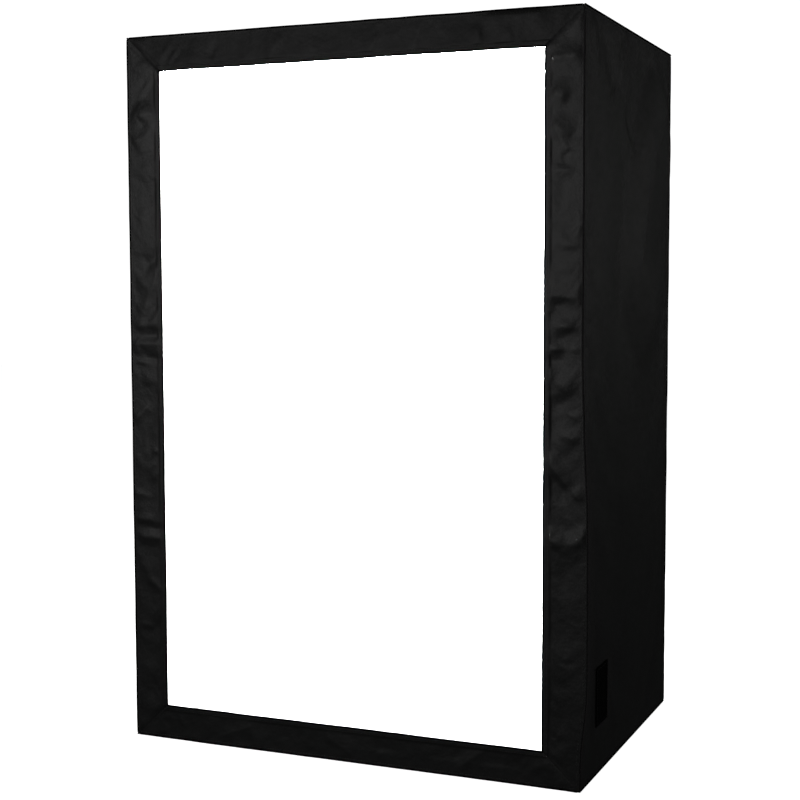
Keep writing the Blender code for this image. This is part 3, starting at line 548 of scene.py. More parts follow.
def noise_at(u, v, size, seed):
    """Smooth noise from -1 to 1, whose swellings are about `size` metres apart."""
    draws = np.random.default_rng(seed).uniform(-1, 1, (256, 256))
    a, b = (0.8 * u + 0.6 * v) / size + 100, (0.8 * v - 0.6 * u) / size + 100
    i, j = np.floor(a).astype(int), np.floor(b).astype(int)
    s, t = ease(0, 1, a - i), ease(0, 1, b - j)
    i, j, i2, j2 = i % 256, j % 256, (i + 1) % 256, (j + 1) % 256
    near = draws[i, j] * (1 - s) + draws[i2, j] * s
    far = draws[i, j2] * (1 - s) + draws[i2, j2] * s
    return near * (1 - t) + far * t


def crumple(u, v, size, depth, seed):
    """Ridges in all directions, as in crumpled film: the sharp lines lie between soft hollows."""
    ridge = np.abs(noise_at(u, v, size, seed)) + 0.4 * np.abs(noise_at(u, v, size / 2.3, seed + 9))
    return depth * (0.55 - 2 * ridge)


def metres(row):
    """A row of millimetres from one of the lists below."""
    return [number / 1000 for number in row]


def formed(u, v, folds=(), swells=()):
    """The sum of a list of folds and a list of swells, whose last number is a turn in degrees."""
    relief = np.zeros(len(u))
    for row in folds:
        relief += fold(u, v, *metres(row))
    for *row, turn in swells:
        relief += swell(u, v, *metres(row), turn)
    return relief


# %% [markdown]
# ## Lining and thickness
#
# A laminated cloth is black outside and white inside. One solidify modifier gives the panel its
# thickness and hands the inner face its own material slot. A subdivision first rounds the grid's
# facets, but keeps the pressed lines.

# %% Thickness
CLOTH_THICK = 0.0008
SMOOTH_ANGLE = math.radians(50)


def thicken(obj, thickness, finishes=(), rounds=0, offset=-1.0):
    """Rounds a sheet off and gives it thickness, inwards as a rule, and its finishes: outside, inside."""
    for finish in finishes:
        obj.data.materials.append(finish)
    if rounds:
        rounding = obj.modifiers.new("rounding", "SUBSURF")
        rounding.levels = rounding.render_levels = rounds
        rounding.boundary_smooth = "PRESERVE_CORNERS"
    depth = obj.modifiers.new("thickness", "SOLIDIFY")
    depth.thickness, depth.offset = thickness, offset
    depth.material_offset = int(len(obj.data.materials) > 1)
    bpy.ops.object.select_all(action="DESELECT")
    obj.select_set(True)
    bpy.context.view_layer.objects.active = obj
    for modifier in list(obj.modifiers):
        bpy.ops.object.modifier_apply(modifier=modifier.name)
    bpy.ops.object.shade_smooth_by_angle(angle=SMOOTH_ANGLE)


def belong(obj, body="tent"):
    """Lets a piece move with a body."""
    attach(obj, body)


def declare(panel, node, body="tent"):
    """Lets a finished panel move with a body, and hides the part of the frame that it stands for."""
    belong(panel.obj, body)
    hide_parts(node)


# %% [markdown]
# ## Stitches
#
# Stitches are real thread. One short, fat stitch is modelled, and a row of copies is laid on the
# finished cloth: each place is found by a ray that is shot at it from outside.

# %% A stitch and its copies
STITCH_LENGTH = 0.0042
STITCH_PITCH = 0.0060
STITCH_RADIUS = 0.00042
STITCH_END = 0.0003
RAY_START = 0.03


def make_stitch():
    """One stitch: a short cylinder round a thinner core, which sinks into the cloth at both ends."""
    made = add(
        bpy.ops.mesh.primitive_cylinder_add, vertices=6, radius=STITCH_RADIUS, depth=STITCH_LENGTH,
        rotation=(0, math.pi / 2, 0), end_fill_type="NGON")
    bpy.ops.object.transform_apply(location=True, rotation=True, scale=True)
    mode("EDIT")
    bpy.ops.mesh.extrude_region_shrink_fatten(TRANSFORM_OT_shrink_fatten={"value": STITCH_END})
    bpy.ops.transform.resize(value=(1, 0.4, 0.4))
    mode("OBJECT")
    return made


def row_of_stitches(surface, start, end, outward):
    """Where stitches lie in a row from start to end, on the surface that a ray from outside meets."""
    start, end = Vector(start), Vector(end)
    heading = (end - start).normalized()
    found = []
    for i in range(int((end - start).length / STITCH_PITCH)):
        place = start + heading * ((i + 0.5) * STITCH_PITCH)
        hit, normal, _, _ = surface.ray_cast(place + outward * RAY_START, -outward)
        if hit is None:
            continue
        tilt = (heading - normal * heading.dot(normal)).normalized()
        turn = Matrix((tilt, normal.cross(tilt), normal)).transposed().to_4x4()
        found.append(Matrix.Translation(hit) @ turn)
    return found


def copies(name, pattern, places, material, body="tent"):
    """One object that holds a copy of a small mesh at each place."""
    shape = mesh_points(pattern.data)
    faces = [tuple(face.vertices) for face in pattern.data.polygons]
    points, joined = [], []
    for i, place in enumerate(places):
        points.append(shape @ np.array(place.to_3x3()).T + np.array(place.translation))
        joined += [tuple(corner + i * len(shape) for corner in face) for face in faces]
    mesh = bpy.data.meshes.new(name)
    mesh.from_pydata(np.concatenate(points).tolist(), [], joined)
    mesh.materials.append(material)
    mesh.shade_smooth()
    made = bpy.data.objects.new(name, mesh)
    bpy.context.scene.collection.objects.link(made)
    belong(made, body)
    return made


def thread_finish(name, shade):
    """Bonded polyester thread: two plies twisted round each other."""
    look = Finish(name, {"Specular IOR Level": 0.35, "Roughness": 0.5})
    sockets = {"Vector": look.places["Object"], "Scale": 300.0, "Distortion": 1.0}
    plies = look.node("TexWave", sockets, bands_direction="DIAGONAL").outputs["Fac"]
    return look.wired(
        look.shades(plies, (0.2, shade * 0.6), (0.8, shade * 1.3)), bump=look.raised(plies, 0.0001))


thread_black = thread_finish("thread_black", 0.012)
stitch = make_stitch()
print(f"a stitch of {len(stitch.data.polygons)} faces")

# %% [markdown]
# ## The front bands
#
# Four strips make the border of the open front, joined by mitre seams at the corners. They carry
# most of what one sees: straight packing creases right across, bubbles of slack cloth between them,
# and short folds that cross the mitres where the corners pull.
#
# The lists are in millimetres. A place on a band is its height above the floor and its distance from
# the tent's outer edge. A fold is its one end, its other end, how far it stands out, and its width
# above and below. A swell is its middle, its length, its width, how far it stands out, and its turn
# in degrees. On the top and bottom bands the first number runs along the band.

# %% The folds of the bands
RIGHT_FOLDS = [
    (1404, 66, 1408, 8, 3.0, 24, 40), (1342, 62, 1330, 36, 3.0, 40, 20), (1284, 62, 1262, 30, 2.6, 10, 30),
    (1278, 56, 1228, 33, 1.6, 12, 12), (1236, 36, 1234, 0, 2.0, 16, 8), (1223, 40, 1222, 0, -2.6, 8, 8),
    (1196, 60, 1194, 26, 1.4, 8, 20), (1096, 2, 1079, 34, -1.6, 6, 6), (1096, 2, 1108, 28, -1.4, 6, 6),
    (1096, 2, 1094, 30, 1.6, 5, 5), (1096, 2, 1070, 16, 1.6, 5, 5), (1096, 2, 1118, 14, 1.4, 5, 5),
    (1056, 40, 1054, 6, 1.4, 14, 5), (960, 74, 955, 2, 4.2, 42, 18), (938, 60, 946, 30, -2.4, 10, 10),
    (924, 76, 936, 62, 1.6, 8, 8), (877, 52, 878, 0, -3.0, 10, 10), (834, 74, 838, 26, -3.0, 10, 10),
    (752, 60, 756, 6, -3.0, 12, 12), (738, 30, 724, 6, 2.6, 7, 7), (650, 74, 566, 10, 4.2, 16, 12),
    (610, 62, 535, 2, -3.6, 14, 14), (556, 78, 500, 64, 2.6, 20, 12), (500, 74, 481, 52, 4.2, 34, 10),
    (481, 54, 484, 20, 4.4, 36, 10), (484, 22, 512, 0, 3.6, 24, 10), (334, 34, 326, 16, 1.2, 5, 5),
    (250, 46, 249, 20, -1.0, 4, 4),
]
LEFT_FOLDS = [
    (1346, 14, 1332, 36, 2.8, 40, 16), (1332, 34, 1346, 60, 2.8, 40, 16), (1284, 10, 1290, 44, 2.2, 26, 14),
    (1290, 42, 1318, 66, 1.7, 22, 14), (1262, 20, 1270, 62, 1.0, 20, 10), (1212, 66, 1206, 54, 0.8, 4, 4),
    (1028, 6, 1026, 48, -2.0, 9, 9), (1026, 48, 1050, 76, -1.6, 9, 9), (1014, 70, 890, 18, 2.6, 26, 26),
    (936, 78, 898, 50, 2.6, 16, 26), (898, 62, 894, 22, 2.4, 7, 24), (873, 4, 873, 78, -2.8, 12, 10),
    (857, 6, 855, 78, 4.2, 13, 32), (825, 0, 823, 78, -2.4, 10, 10), (817, 2, 816, 44, 2.4, 6, 6),
    (808, 6, 807, 44, -1.8, 7, 7), (724, 40, 690, 4, 2.6, 14, 10), (625, 64, 626, 48, 1.6, 6, 6),
    (536, 0, 528, 32, 2.6, 12, 6), (480, 10, 476, 44, 2.2, 8, 8), (457, 4, 456, 78, -2.4, 7, 7),
    (440, 12, 438, 72, 3.6, 14, 8), (348, 34, 322, 72, 2.0, 8, 8), (247, 14, 245, 44, 2.0, 7, 7),
]
TOP_FOLDS = [
    (80, 12, 190, 12, 3.2, 20, 58), (150, 36, 146, 64, 1.4, 18, 14), (215, 30, 205, 64, 2.2, 16, 12),
    (330, 12, 345, 60, 1.6, 30, 12), (420, 30, 440, 64, 1.8, 24, 14), (640, 20, 660, 66, 1.4, 40, 14),
    (792, 26, 800, 52, -1.6, 6, 6),
]
BOTTOM_FOLDS = [
    (200, 20, 280, 50, 1.2, 30, 16), (460, 50, 520, 16, 1.2, 30, 16), (740, 16, 800, 60, 1.4, 30, 16),
]
RIGHT_SWELLS = [
    (902, 34, 18, 30, 3.4, 0), (858, 54, 14, 20, 2.8, 0), (858, 14, 14, 14, 2.4, 0),
    (806, 66, 28, 12, 2.6, 0), (788, 34, 32, 28, 4.2, -15), (690, 30, 16, 26, 2.8, -15),
    (706, 60, 44, 16, -2.2, 0), (1150, 60, 60, 18, 1.6, 0), (1010, 30, 30, 34, 2.2, 0),
    (585, 34, 30, 14, -2.0, -35), (420, 40, 50, 30, -1.2, 0),
]
LEFT_SWELLS = [
    (985, 30, 24, 22, 2.0, 20), (1120, 34, 70, 26, 1.6, 0), (1225, 40, 50, 26, 1.4, 0),
    (780, 40, 22, 24, 2.0, 0), (656, 30, 34, 24, -1.4, 10), (590, 52, 30, 16, 1.2, 0),
]
# The folds that cross a mitre, from the opening's corner: towards its middle, and up from it, twice
CORNER_FOLDS = [
    (4, 22, 26, 52, 1.0, 7), (17, 16, 37, 40, -1.2, 7), (24, 14, 46, 42, 1.1, 8), (32, 12, 52, 36, -0.9, 8),
    (-24, -10, -56, -44, -1.5, 9), (-20, -16, -48, -50, 1.0, 8), (-14, -22, -36, -56, -1.2, 8),
]
print(f"{len(RIGHT_FOLDS + LEFT_FOLDS + TOP_FOLDS + BOTTOM_FOLDS)} folds on the bands")

# %% [markdown]
# ## Seams of the bands
#
# A mitre seam is a fine groove between two soft ridges, and short folds run across it. The loose
# cover also lets the front right seam bow out to the side over its lower half.

# %% Seams
HIGH = 1.0
HIGH_STRONGER = 1.6
SEAM_BOW = 0.0125
MITRE_SEAM = 0.0008
MITRE_SEAM_WIDE = 0.0022
MITRE_RIDGES = 0.0021
MITRE_HALF = 0.012
MITRE_REACH = 0.045
STEEPEST = 0.15


def seam_bow(z):
    """How far the loose cover's front right seam stands to the right of its upright, by height."""
    return SEAM_BOW * ease(0.055, 0.20, z) * (1 - ease(0.46, 0.86, z))


def mitre_relief(x, z):
    """What the front does near its four corners: seams, the ridges beside them, and crossing folds."""
    relief = np.zeros(len(x))
    reach = math.hypot(BAND_SIDE, BAND_END)
    for side in (-1, 1):
        for high in (0, 1):
            strength = 1.0 if high else 0.45
            pulled = 1.0 if high and side < 0 else 0.35
            aside = side * x - (RIGHT - BAND_SIDE)
            above = (z - (TOP - BAND_END)) if high else (BAND_END - z)
            along = (aside * BAND_SIDE + above * BAND_END) / reach
            off = np.abs(aside * BAND_END - above * BAND_SIDE) / reach
            fade = np.clip((MITRE_REACH - off) / (MITRE_REACH - MITRE_HALF), 0, 1)
            beside = np.clip(off / MITRE_HALF, 0, 1) * fade * (1 - ease(0.085, 0.105, along))
            relief += strength * MITRE_RIDGES * beside * ease(-0.01, 0.02, along)
            relief -= MITRE_SEAM * np.exp(-((off / MITRE_SEAM_WIDE) ** 2)) * ease(-0.01, 0.01, along)
            relief += pulled * formed(-aside, above, CORNER_FOLDS)
    return relief


print(f"the front right seam bows out by {1000 * seam_bow(0.33):.1f} mm")

# %% [markdown]
# ## Making a band
#
# Each band is cut with its mitred ends, let hang for a moment with its border held, and then creased
# by its list. High on the tent the folds catch the key light, so they are pressed deeper there. A
# fold that would become a cliff is widened. The hem along the opening is a raised strip.

# %% Front bands
BAND_PITCH = 0.004
BAND_SLACK = 0.002
HEM = 0.011
HEM_SHARES = (1 - 0.0122 / BAND_SIDE, 1 - HEM / BAND_SIDE)
HEM_RAISED = 0.0007
TOP_BAND_FORWARD = 0.0038
CORNER_FADE = 0.09
EDGE_FADE_SHARE = 0.09
WORN_MOST = 0.22


def build_band(name, corner, across, up, length, width, taper, seed, folds, swells=()):
    """A mitred strip of the front, simulated, creased, hemmed along the opening and lined."""
    share = grid_lines(1.0, BAND_PITCH / BAND_SIDE, HEM_SHARES)
    panel = Panel(name, corner, across, up, grid_lines(length, BAND_PITCH), width * share, taper=taper)
    share = panel.v / width
    mitres = np.minimum(panel.u, panel.width - panel.u) - taper * panel.v / width
    border = np.minimum(np.minimum(panel.v, width - panel.v), np.maximum(mitres, 0))
    let_hang(panel, np.where(border < 0.002, 1.0, 0.0), BAND_SLACK, 0.0010, seed)
    panel.shift *= ease(0.0, 0.005, border)[:, None]
    height = TOP - panel.u if name == "front_band_left" else panel.u
    relief = crumple(panel.u, panel.v, 0.045, 0.0004, seed)
    relief += crumple(panel.u, panel.v, 0.16, 0.0010, seed + 3)
    pressed = np.zeros(len(height))
    for row in folds:
        *ends, out, above, below = metres(row)
        out *= HIGH_STRONGER if min(ends[0], ends[2]) > HIGH else 1.0
        least = abs(out) / STEEPEST
        relief += fold(height, panel.v, *ends, out, max(above, least), max(below, least))
        pressed += fold(height, panel.v, *ends, 1.0, 0.004)
    relief += formed(height, panel.v, swells=swells)
    if name == "front_band_top":
        relief += TOP_BAND_FORWARD * share * ease(0.0, CORNER_FADE, mitres)
    x, z = panel.flat[:, 0], panel.flat[:, 2]
    hemmed = ease(*HEM_SHARES, share)
    calm = ease(0.0, 0.010, np.maximum(mitres, 0)) * (1 - 0.6 * hemmed)
    relief = relief * calm + mitre_relief(x, z) + HEM_RAISED * hemmed * ease(0, 0.004, mitres)
    tubes = INWARD_AT_TUBES + INWARD_FREE * ease(0.4, 0.6, share)
    total = (panel.stands_out() * 0.5 * calm + relief) * ease(0.0, EDGE_FADE_SHARE, share)
    total = np.where(total < 0, -tubes * np.tanh(-total / tubes), total)
    aside = seam_bow(z) * (1 - share) * (x > 0) * (name == "front_band_right")
    panel.lay(panel.flat + panel.raised_by(total) + np.outer(aside, X))
    panel.rub(np.clip(pressed * WORN_MOST, 0, 1))
    # The top band takes the darker copy, whose colour is painted shade
    outside = cover_top_painted_shade if name == "front_band_top" else cover_black
    thicken(panel.obj, CLOTH_THICK, (outside, lining_white), rounds=1)
    declare(panel, name)
    return panel.obj


ALONG, UPRIGHT = (WIDTH, BAND_END, BAND_SIDE), (TOP, BAND_SIDE, BAND_END)
BANDS = {
    "front_band_bottom": ((LEFT, FRONT, 0), X, Z, *ALONG, 2, BOTTOM_FOLDS),
    "front_band_top": ((RIGHT, FRONT, TOP), BACK_X, DOWN, *ALONG, 5, TOP_FOLDS),
    "front_band_right": ((RIGHT, FRONT, 0), Z, BACK_X, *UPRIGHT, 8, RIGHT_FOLDS, RIGHT_SWELLS),
    "front_band_left": ((LEFT, FRONT, TOP), DOWN, X, *UPRIGHT, 11, LEFT_FOLDS, LEFT_SWELLS),
}
bands = {name: build_band(name, *row) for name, row in BANDS.items()}
print("bands:", ", ".join(f"{n} {len(o.data.polygons)} faces" for n, o in bands.items()))

# %% [markdown]
# ## The forms of the large panels
#
# The walls and the roof are calmer than the bands: soft upright folds where the cloth hangs from the
# roof's seam, long shallow creases from packing, and a drawn look along the seams. The right wall has
# one long fold more, which runs down from its top rear corner, turns, and goes back to the rear.

# %% Reliefs of the large panels
PACKING = (0.475, 0.862, 1.249)
LOOSE_REACH = 0.10
CREST_HEIGHT = 0.0215
# The crest of the right wall's one long fold, from the top rear down, as (from the front, height)
CREST = [(0.665, 1.394), (0.53, 1.277), (0.45, 1.164), (0.40, 1.013), (0.47, 0.956), (0.59, 0.854)]
# The lists are in millimetres: from the wall's first edge, and the height, as in the bands' lists
RIGHT_WALL_FOLDS = [
    (500, 1490, 330, 1300, -7.5, 100, 60), (600, 930, 690, 925, -1.6, 10), (4, 905, 55, 898, -2.2, 14),
    (4, 862, 45, 857, -2.2, 14), (50, 1480, 90, 1385, 4.0, 34), (140, 1475, 220, 1370, -5.5, 50),
    (310, 1480, 260, 1400, 3.6, 34), (2, 1096, 30, 1076.5, 1.8, 8), (2, 1096, 45, 1096, 1.8, 8),
    (2, 1096, 60, 1115.5, 1.8, 8),
]
RIGHT_WALL_SWELLS = [(150, 1020, 120, 340, 4.6, -4), (270, 420, 140, 300, -3.6, 0)]
LEFT_WALL_SWELLS = [
    (220, 1200, 100, 240, 4.5, -8), (460, 800, 90, 260, -4.2, 10), (300, 420, 120, 200, 3.4, 16),
]
REAR_WALL_SWELLS = [(220, 1120, 110, 260, 4.2, 8), (780, 740, 110, 280, 4.0, -10)]
ROOF_FOLDS = [
    (333, 0, 333, 1000 * DEPTH, -1.4, 16), (667, 0, 667, 1000 * DEPTH, 1.4, 16),
    (0, 350, 1000 * WIDTH, 350, -1.2, 14),
]
ROOF_SWELLS = [(500 * WIDTH, 500 * DEPTH, 550, 400, -4.0, 0)]


def pressed_lines(u, v, seed, depth=0.0016):
    """The packing creases right across a wall: shallow lines that wander and fade in places."""
    relief, level = np.zeros(len(u)), np.zeros(len(u))
    for i, at in enumerate(PACKING):
        drift = 0.006 * noise_at(u, level, 0.3, seed + i)
        strength = 0.55 + 0.7 * noise_at(u, level, 0.14, seed + i + 20)
        line = np.clip(1 - np.abs(v - at - drift) / 0.014, 0, 1) ** 1.5
        relief += (1 if i % 2 else -1) * depth * np.clip(strength, 0.1, 1) * line
    return relief


def upright_folds(u, v, width, depth, seed):
    """Soft folds that run down a wall, strongest near the top seam."""
    drift = noise_at(u, v * 0.55, 0.5, seed)
    return depth * np.sin(2 * math.pi * (u / width + 0.9 * drift)) * (0.5 + 0.5 * ease(0.0, 1.2, v))


def along_crest(u, v, line, height, before, behind):
    """One long fold along a bent line: it falls away over `before` to the front and `behind` to the rear."""
    nearest, rear = np.full(len(u), 9.0), np.zeros(len(u), bool)
    along, travelled = np.zeros(len(u)), 0.0
    for (u0, v0), (u1, v1) in zip(line, line[1:]):
        length = math.hypot(u1 - u0, v1 - v0)
        share = np.clip(((u - u0) * (u1 - u0) + (v - v0) * (v1 - v0)) / length ** 2, 0, 1)
        away = np.hypot(u - u0 - share * (u1 - u0), v - v0 - share * (v1 - v0))
        closer = away < nearest
        nearest = np.where(closer, away, nearest)
        rear = np.where(closer, (u - u0) * (v1 - v0) < (v - v0) * (u1 - u0), rear)
        along = np.where(closer, travelled + share * length, along)
        travelled += length
    slope = np.clip(1 - nearest / np.where(rear, behind, before), 0, 1) ** EVEN_SLOPE
    return height * slope * ease(-0.02, 0.10, along) * ease(-0.02, 0.10, travelled - along)


def right_wall_relief(u, v):
    """Right wall, u from the front: a long diagonal fold, soft uprights, creases, puckers at the top."""
    relief = upright_folds(u, v, 0.31, 0.0004, 31) + pressed_lines(u, v, 4, 0.0008)
    relief += along_crest(u, v, CREST, CREST_HEIGHT, 0.15, 0.21)
    relief -= 0.0007 * (ease(0.672, 0.674, u) - ease(0.686, 0.688, u))
    relief += formed(u, v, RIGHT_WALL_FOLDS, RIGHT_WALL_SWELLS)
    return relief + crumple(u, v, 0.16, 0.0004, 17)


def left_wall_relief(u, v):
    relief = upright_folds(u, v, 0.26, 0.0026, 41) + pressed_lines(u, v, 7)
    return relief + formed(u, v, (), LEFT_WALL_SWELLS) + crumple(u, v, 0.09, 0.0010, 23)


def rear_wall_relief(u, v):
    relief = upright_folds(u, v, 0.28, 0.0026, 51) + pressed_lines(u, v, 10)
    return relief + formed(u, v, (), REAR_WALL_SWELLS) + crumple(u, v, 0.09, 0.0010, 29)


def roof_relief(u, v):
    return formed(u, v, ROOF_FOLDS, ROOF_SWELLS) + crumple(u, v, 0.10, 0.0012, 37)


def loose_seam(u, v):
    """The right wall's front edge goes out with the bowed seam, and falls back to the wall behind it."""
    return seam_bow(v) * (1 - ease(-0.06, LOOSE_REACH, u)) / (1 - ease(-0.06, LOOSE_REACH, 0.0))


# %% [markdown]
# ## The walls and the roof
#
# The right wall has the cord port cut out of it, the roof has the camera port, and the zip runs up
# the rear wall. Those places are held flat, because flaps and a slider run on them.

# %% Walls and roof
WALL_PITCH = 0.011
REAR_WALL_PITCH = 0.0130
WALL_SLACK = 0.0011
WALL_STIFFNESS = 25.0
PORT_MARGIN = 0.030
ZIP_MARGIN = 0.024
SIDE_LAP = 0.012
ROOF_LAP = 0.020


class Port:
    """A port, from the box of its flap. The flap laps over the window all round.

    a and b are the numbers of its wall's two axes, and start is where the wall's u and v begin.
    """

    def __init__(self, name, a, b, start, lap):
        low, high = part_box(name)
        self.corner = [low[i] if i in (a, b) else high[i] for i in range(3)]
        self.size = high[a] - low[a], high[b] - low[b]
        self.area = low[a] - start[a], high[a] - start[a], low[b] - start[b], high[b] - start[b]
        self.window = tuple(edge + lap * (-1) ** i for i, edge in enumerate(self.area))


side_port = Port("side_port_flap", 1, 2, (RIGHT, FRONT, 0), SIDE_LAP)
roof_port = Port("roof_port_flap", 0, 1, (LEFT, FRONT, TOP), ROOF_LAP)


def build_wall(name, relief, seed, port=None, hung=1.0, edge=None, pitch=WALL_PITCH):
    """A large panel: simulated, shaped, lined and declared. edge gives how far a loose seam stands out."""
    corner, across, up, size = WALLS[name]
    window = port.window if port else None
    marks = (window[:2], window[2:]) if port else ((), ())
    panel = Panel(
        name, corner, across, up,
        grid_lines(size[0], pitch, marks[0]), grid_lines(size[1], pitch, marks[1]), window)
    quiet = np.ones(len(panel.u))
    if port:
        for area in (port.window, port.area):
            quiet *= ease(0.004, PORT_MARGIN, beyond(panel.u, panel.v, area))
    if name == "rear_wall":
        quiet *= ease(ZIP_MARGIN, 3 * ZIP_MARGIN, np.abs(panel.u - WIDTH / 2))
    held = np.where((panel.from_border() < 0.004) | (quiet < 0.02), 1.0, 0.0)
    let_hang(panel, held, WALL_SLACK, 0.003, seed, WALL_STIFFNESS)
    shape_panel(panel, relief(panel.u, panel.v), quiet, hung)
    if edge:
        panel.lay(mesh_points(panel.obj.data) + panel.raised_by(edge(panel.u, panel.v)))
    panel.rub(WORN_MOST * (1 - ease(0.0, 0.012, panel.from_border())))
    thicken(panel.obj, CLOTH_THICK, (cover_wall, lining_white), rounds=1)
    declare(panel, name)
    return panel.obj


WALLS = {
    "right_wall": ((RIGHT, FRONT, 0), Y, Z, (DEPTH, TOP)),
    "left_wall": ((LEFT, REAR, 0), BACK_Y, Z, (DEPTH, TOP)),
    "rear_wall": ((RIGHT, REAR, 0), BACK_X, Z, (WIDTH, TOP)),
    "roof": ((LEFT, FRONT, TOP), X, Y, (WIDTH, DEPTH)),
}
walls = {
    "right_wall": build_wall("right_wall", right_wall_relief, 13, side_port, 0.25, loose_seam),
    "left_wall": build_wall("left_wall", left_wall_relief, 17),
    "rear_wall": build_wall("rear_wall", rear_wall_relief, 19, pitch=REAR_WALL_PITCH),
    "roof": build_wall("roof", roof_relief, 23, roof_port),
}
print("walls:", ", ".join(f"{n} {len(o.data.polygons)} faces" for n, o in walls.items()))

# %% [markdown]
# ## The floor mat
#
# The mat is the tent's own floor: cover cloth below and white lining above. It lies flat, so all that
# it needs is its grid, a trace of unevenness and its thickness.

# %% Floor mat
mat = Panel("floor_mat", (LEFT, REAR, 0), X, BACK_Y, grid_lines(WIDTH, 0.02), grid_lines(DEPTH, 0.02))
shape_panel(mat, -0.0003 * (1 + noise_at(mat.u, mat.v, 0.12, 61)))
thicken(mat.obj, CLOTH_THICK, (cover_black, lining_white), rounds=1)
declare(mat, "floor_mat")
print(f"mat of {len(mat.obj.data.polygons)} faces")

# %% [markdown]
# ## The white sheet
#
# The white sheet is what one photographs against. Its hem goes over a bar at the top rear, it hangs
# straight down, sweeps forward in a wide bend, and lies on the mat, so that no corner shows. It is
# one flat sheet again, laid along that line; its weight pulls faint flutes into it below the bar.

# %% Sheet
SHEET_THICK = 0.0010
SHEET_SWEEP = 0.300
SHEET_HEM = 0.035
SIDE_HEM = 0.012
FLUTES = 0.0016
FLUTE_PITCH = 0.19
sheet_box, bar_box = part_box("backdrop_sheet"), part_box("backdrop_bar")
bar_y, bar_z = (bar_box[0].y + bar_box[1].y) / 2, (bar_box[0].z + bar_box[1].z) / 2
wrap = (sheet_box[1].y - bar_y) - SHEET_THICK / 2
sheet_low = sheet_box[0].z + SHEET_THICK / 2
sheet_back = bar_y - wrap
drop = bar_z - sheet_low - SHEET_SWEEP
on_floor = sheet_back - SHEET_SWEEP - sheet_box[0].y
STRETCHES = np.cumsum([SHEET_HEM, math.pi * wrap, drop, SHEET_SWEEP * math.pi / 2, on_floor])
sheet_width = sheet_box[1].x - sheet_box[0].x


def along_sheet(s):
    """Where the sheet is at a distance from its hem, and which way its face looks, as (y, z) pairs."""
    if s < STRETCHES[0]:
        return (bar_y + wrap, bar_z - SHEET_HEM + s), (1, 0)
    if s < STRETCHES[1]:
        turn = (s - STRETCHES[0]) / wrap
        y, z = math.cos(turn), math.sin(turn)
        return (bar_y + wrap * y, bar_z + wrap * z), (y, z)
    if s < STRETCHES[2]:
        return (sheet_back, bar_z - (s - STRETCHES[1])), (-1, 0)
    if s < STRETCHES[3]:
        turn = (s - STRETCHES[2]) / SHEET_SWEEP
        y, z = -math.cos(turn), math.sin(turn)
        return (sheet_back - SHEET_SWEEP * (1 + y), sheet_low + SHEET_SWEEP * (1 - z)), (y, z)
    return (sheet_back - SHEET_SWEEP - (s - STRETCHES[3]), sheet_low), (0, 1)


sheet_lines = np.unique(np.concatenate([
    grid_lines(STRETCHES[0], 0.012), np.linspace(*STRETCHES[:2], 9), STRETCHES[1] + grid_lines(drop, 0.02),
    np.linspace(*STRETCHES[2:4], 26), STRETCHES[3] + grid_lines(on_floor, 0.03),
]).round(7))
sheet = Panel("backdrop_sheet", (0, 0, 0), BACK_X, DOWN, grid_lines(sheet_width, 0.016), sheet_lines)
laid = [along_sheet(s) for s in sheet.v]
sheet.flat = np.array([(sheet_box[1].x - u, y, z) for u, ((y, z), _) in zip(sheet.u, laid)])
sheet.out = np.array([(0, y, z) for _, (y, z) in laid])
fixed = 1 - ease(0, 0.04, sheet.v - STRETCHES[1]) * (1 - ease(-0.10, 0.02, sheet.v - STRETCHES[2]))
let_hang(sheet, np.where(fixed > 0.5, 1.0, 0.25), 0.0012, 0.002, 67)
waves = np.sin(sheet.u * 2 * math.pi / FLUTE_PITCH + 2 * noise_at(sheet.u, sheet.v, 0.4, 71))
hemmed = 1 - ease(SIDE_HEM, SIDE_HEM + 0.001, np.minimum(sheet.u, sheet_width - sheet.u))
hung = np.clip(sheet.stands_out() * (1 - fixed), -0.002, 0.004)
sheet.lay(sheet.flat + sheet.raised_by(hung + FLUTES * waves * (1 - fixed) + 0.0003 * hemmed))
thicken(sheet.obj, SHEET_THICK, (sheet_white,), offset=0.0)
sheet.height = STRETCHES[-1]
declare(sheet, "backdrop_sheet")
print(f"sheet {sheet_width:.3f} by {sheet.height:.3f} m")

# %% [markdown]
# ## Port flaps
#
# Each port is a hole in a wall with a bound edge and a flap over it. The flap is thick, dull loop
# cloth, so that it grips a strip of hooks round the hole. It takes light away, which is why a port
# shows as a darker patch on the wall. Its edge is wrapped in binding tape: the tape is raised from the
# cloth along two close lines of the grid, and stitched down.

# %% Flaps
BINDING = 0.007
BINDING_RAISED = 0.0005
BINDING_STEP = 0.0008
FLAP_PITCH = 0.005
flap_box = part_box("side_port_flap")
FLAP_THICK = flap_box[1].x - flap_box[0].x
FLAPS = {"side_port_flap": (side_port, Y, Z, 73), "roof_port_flap": (roof_port, X, Y, 79)}


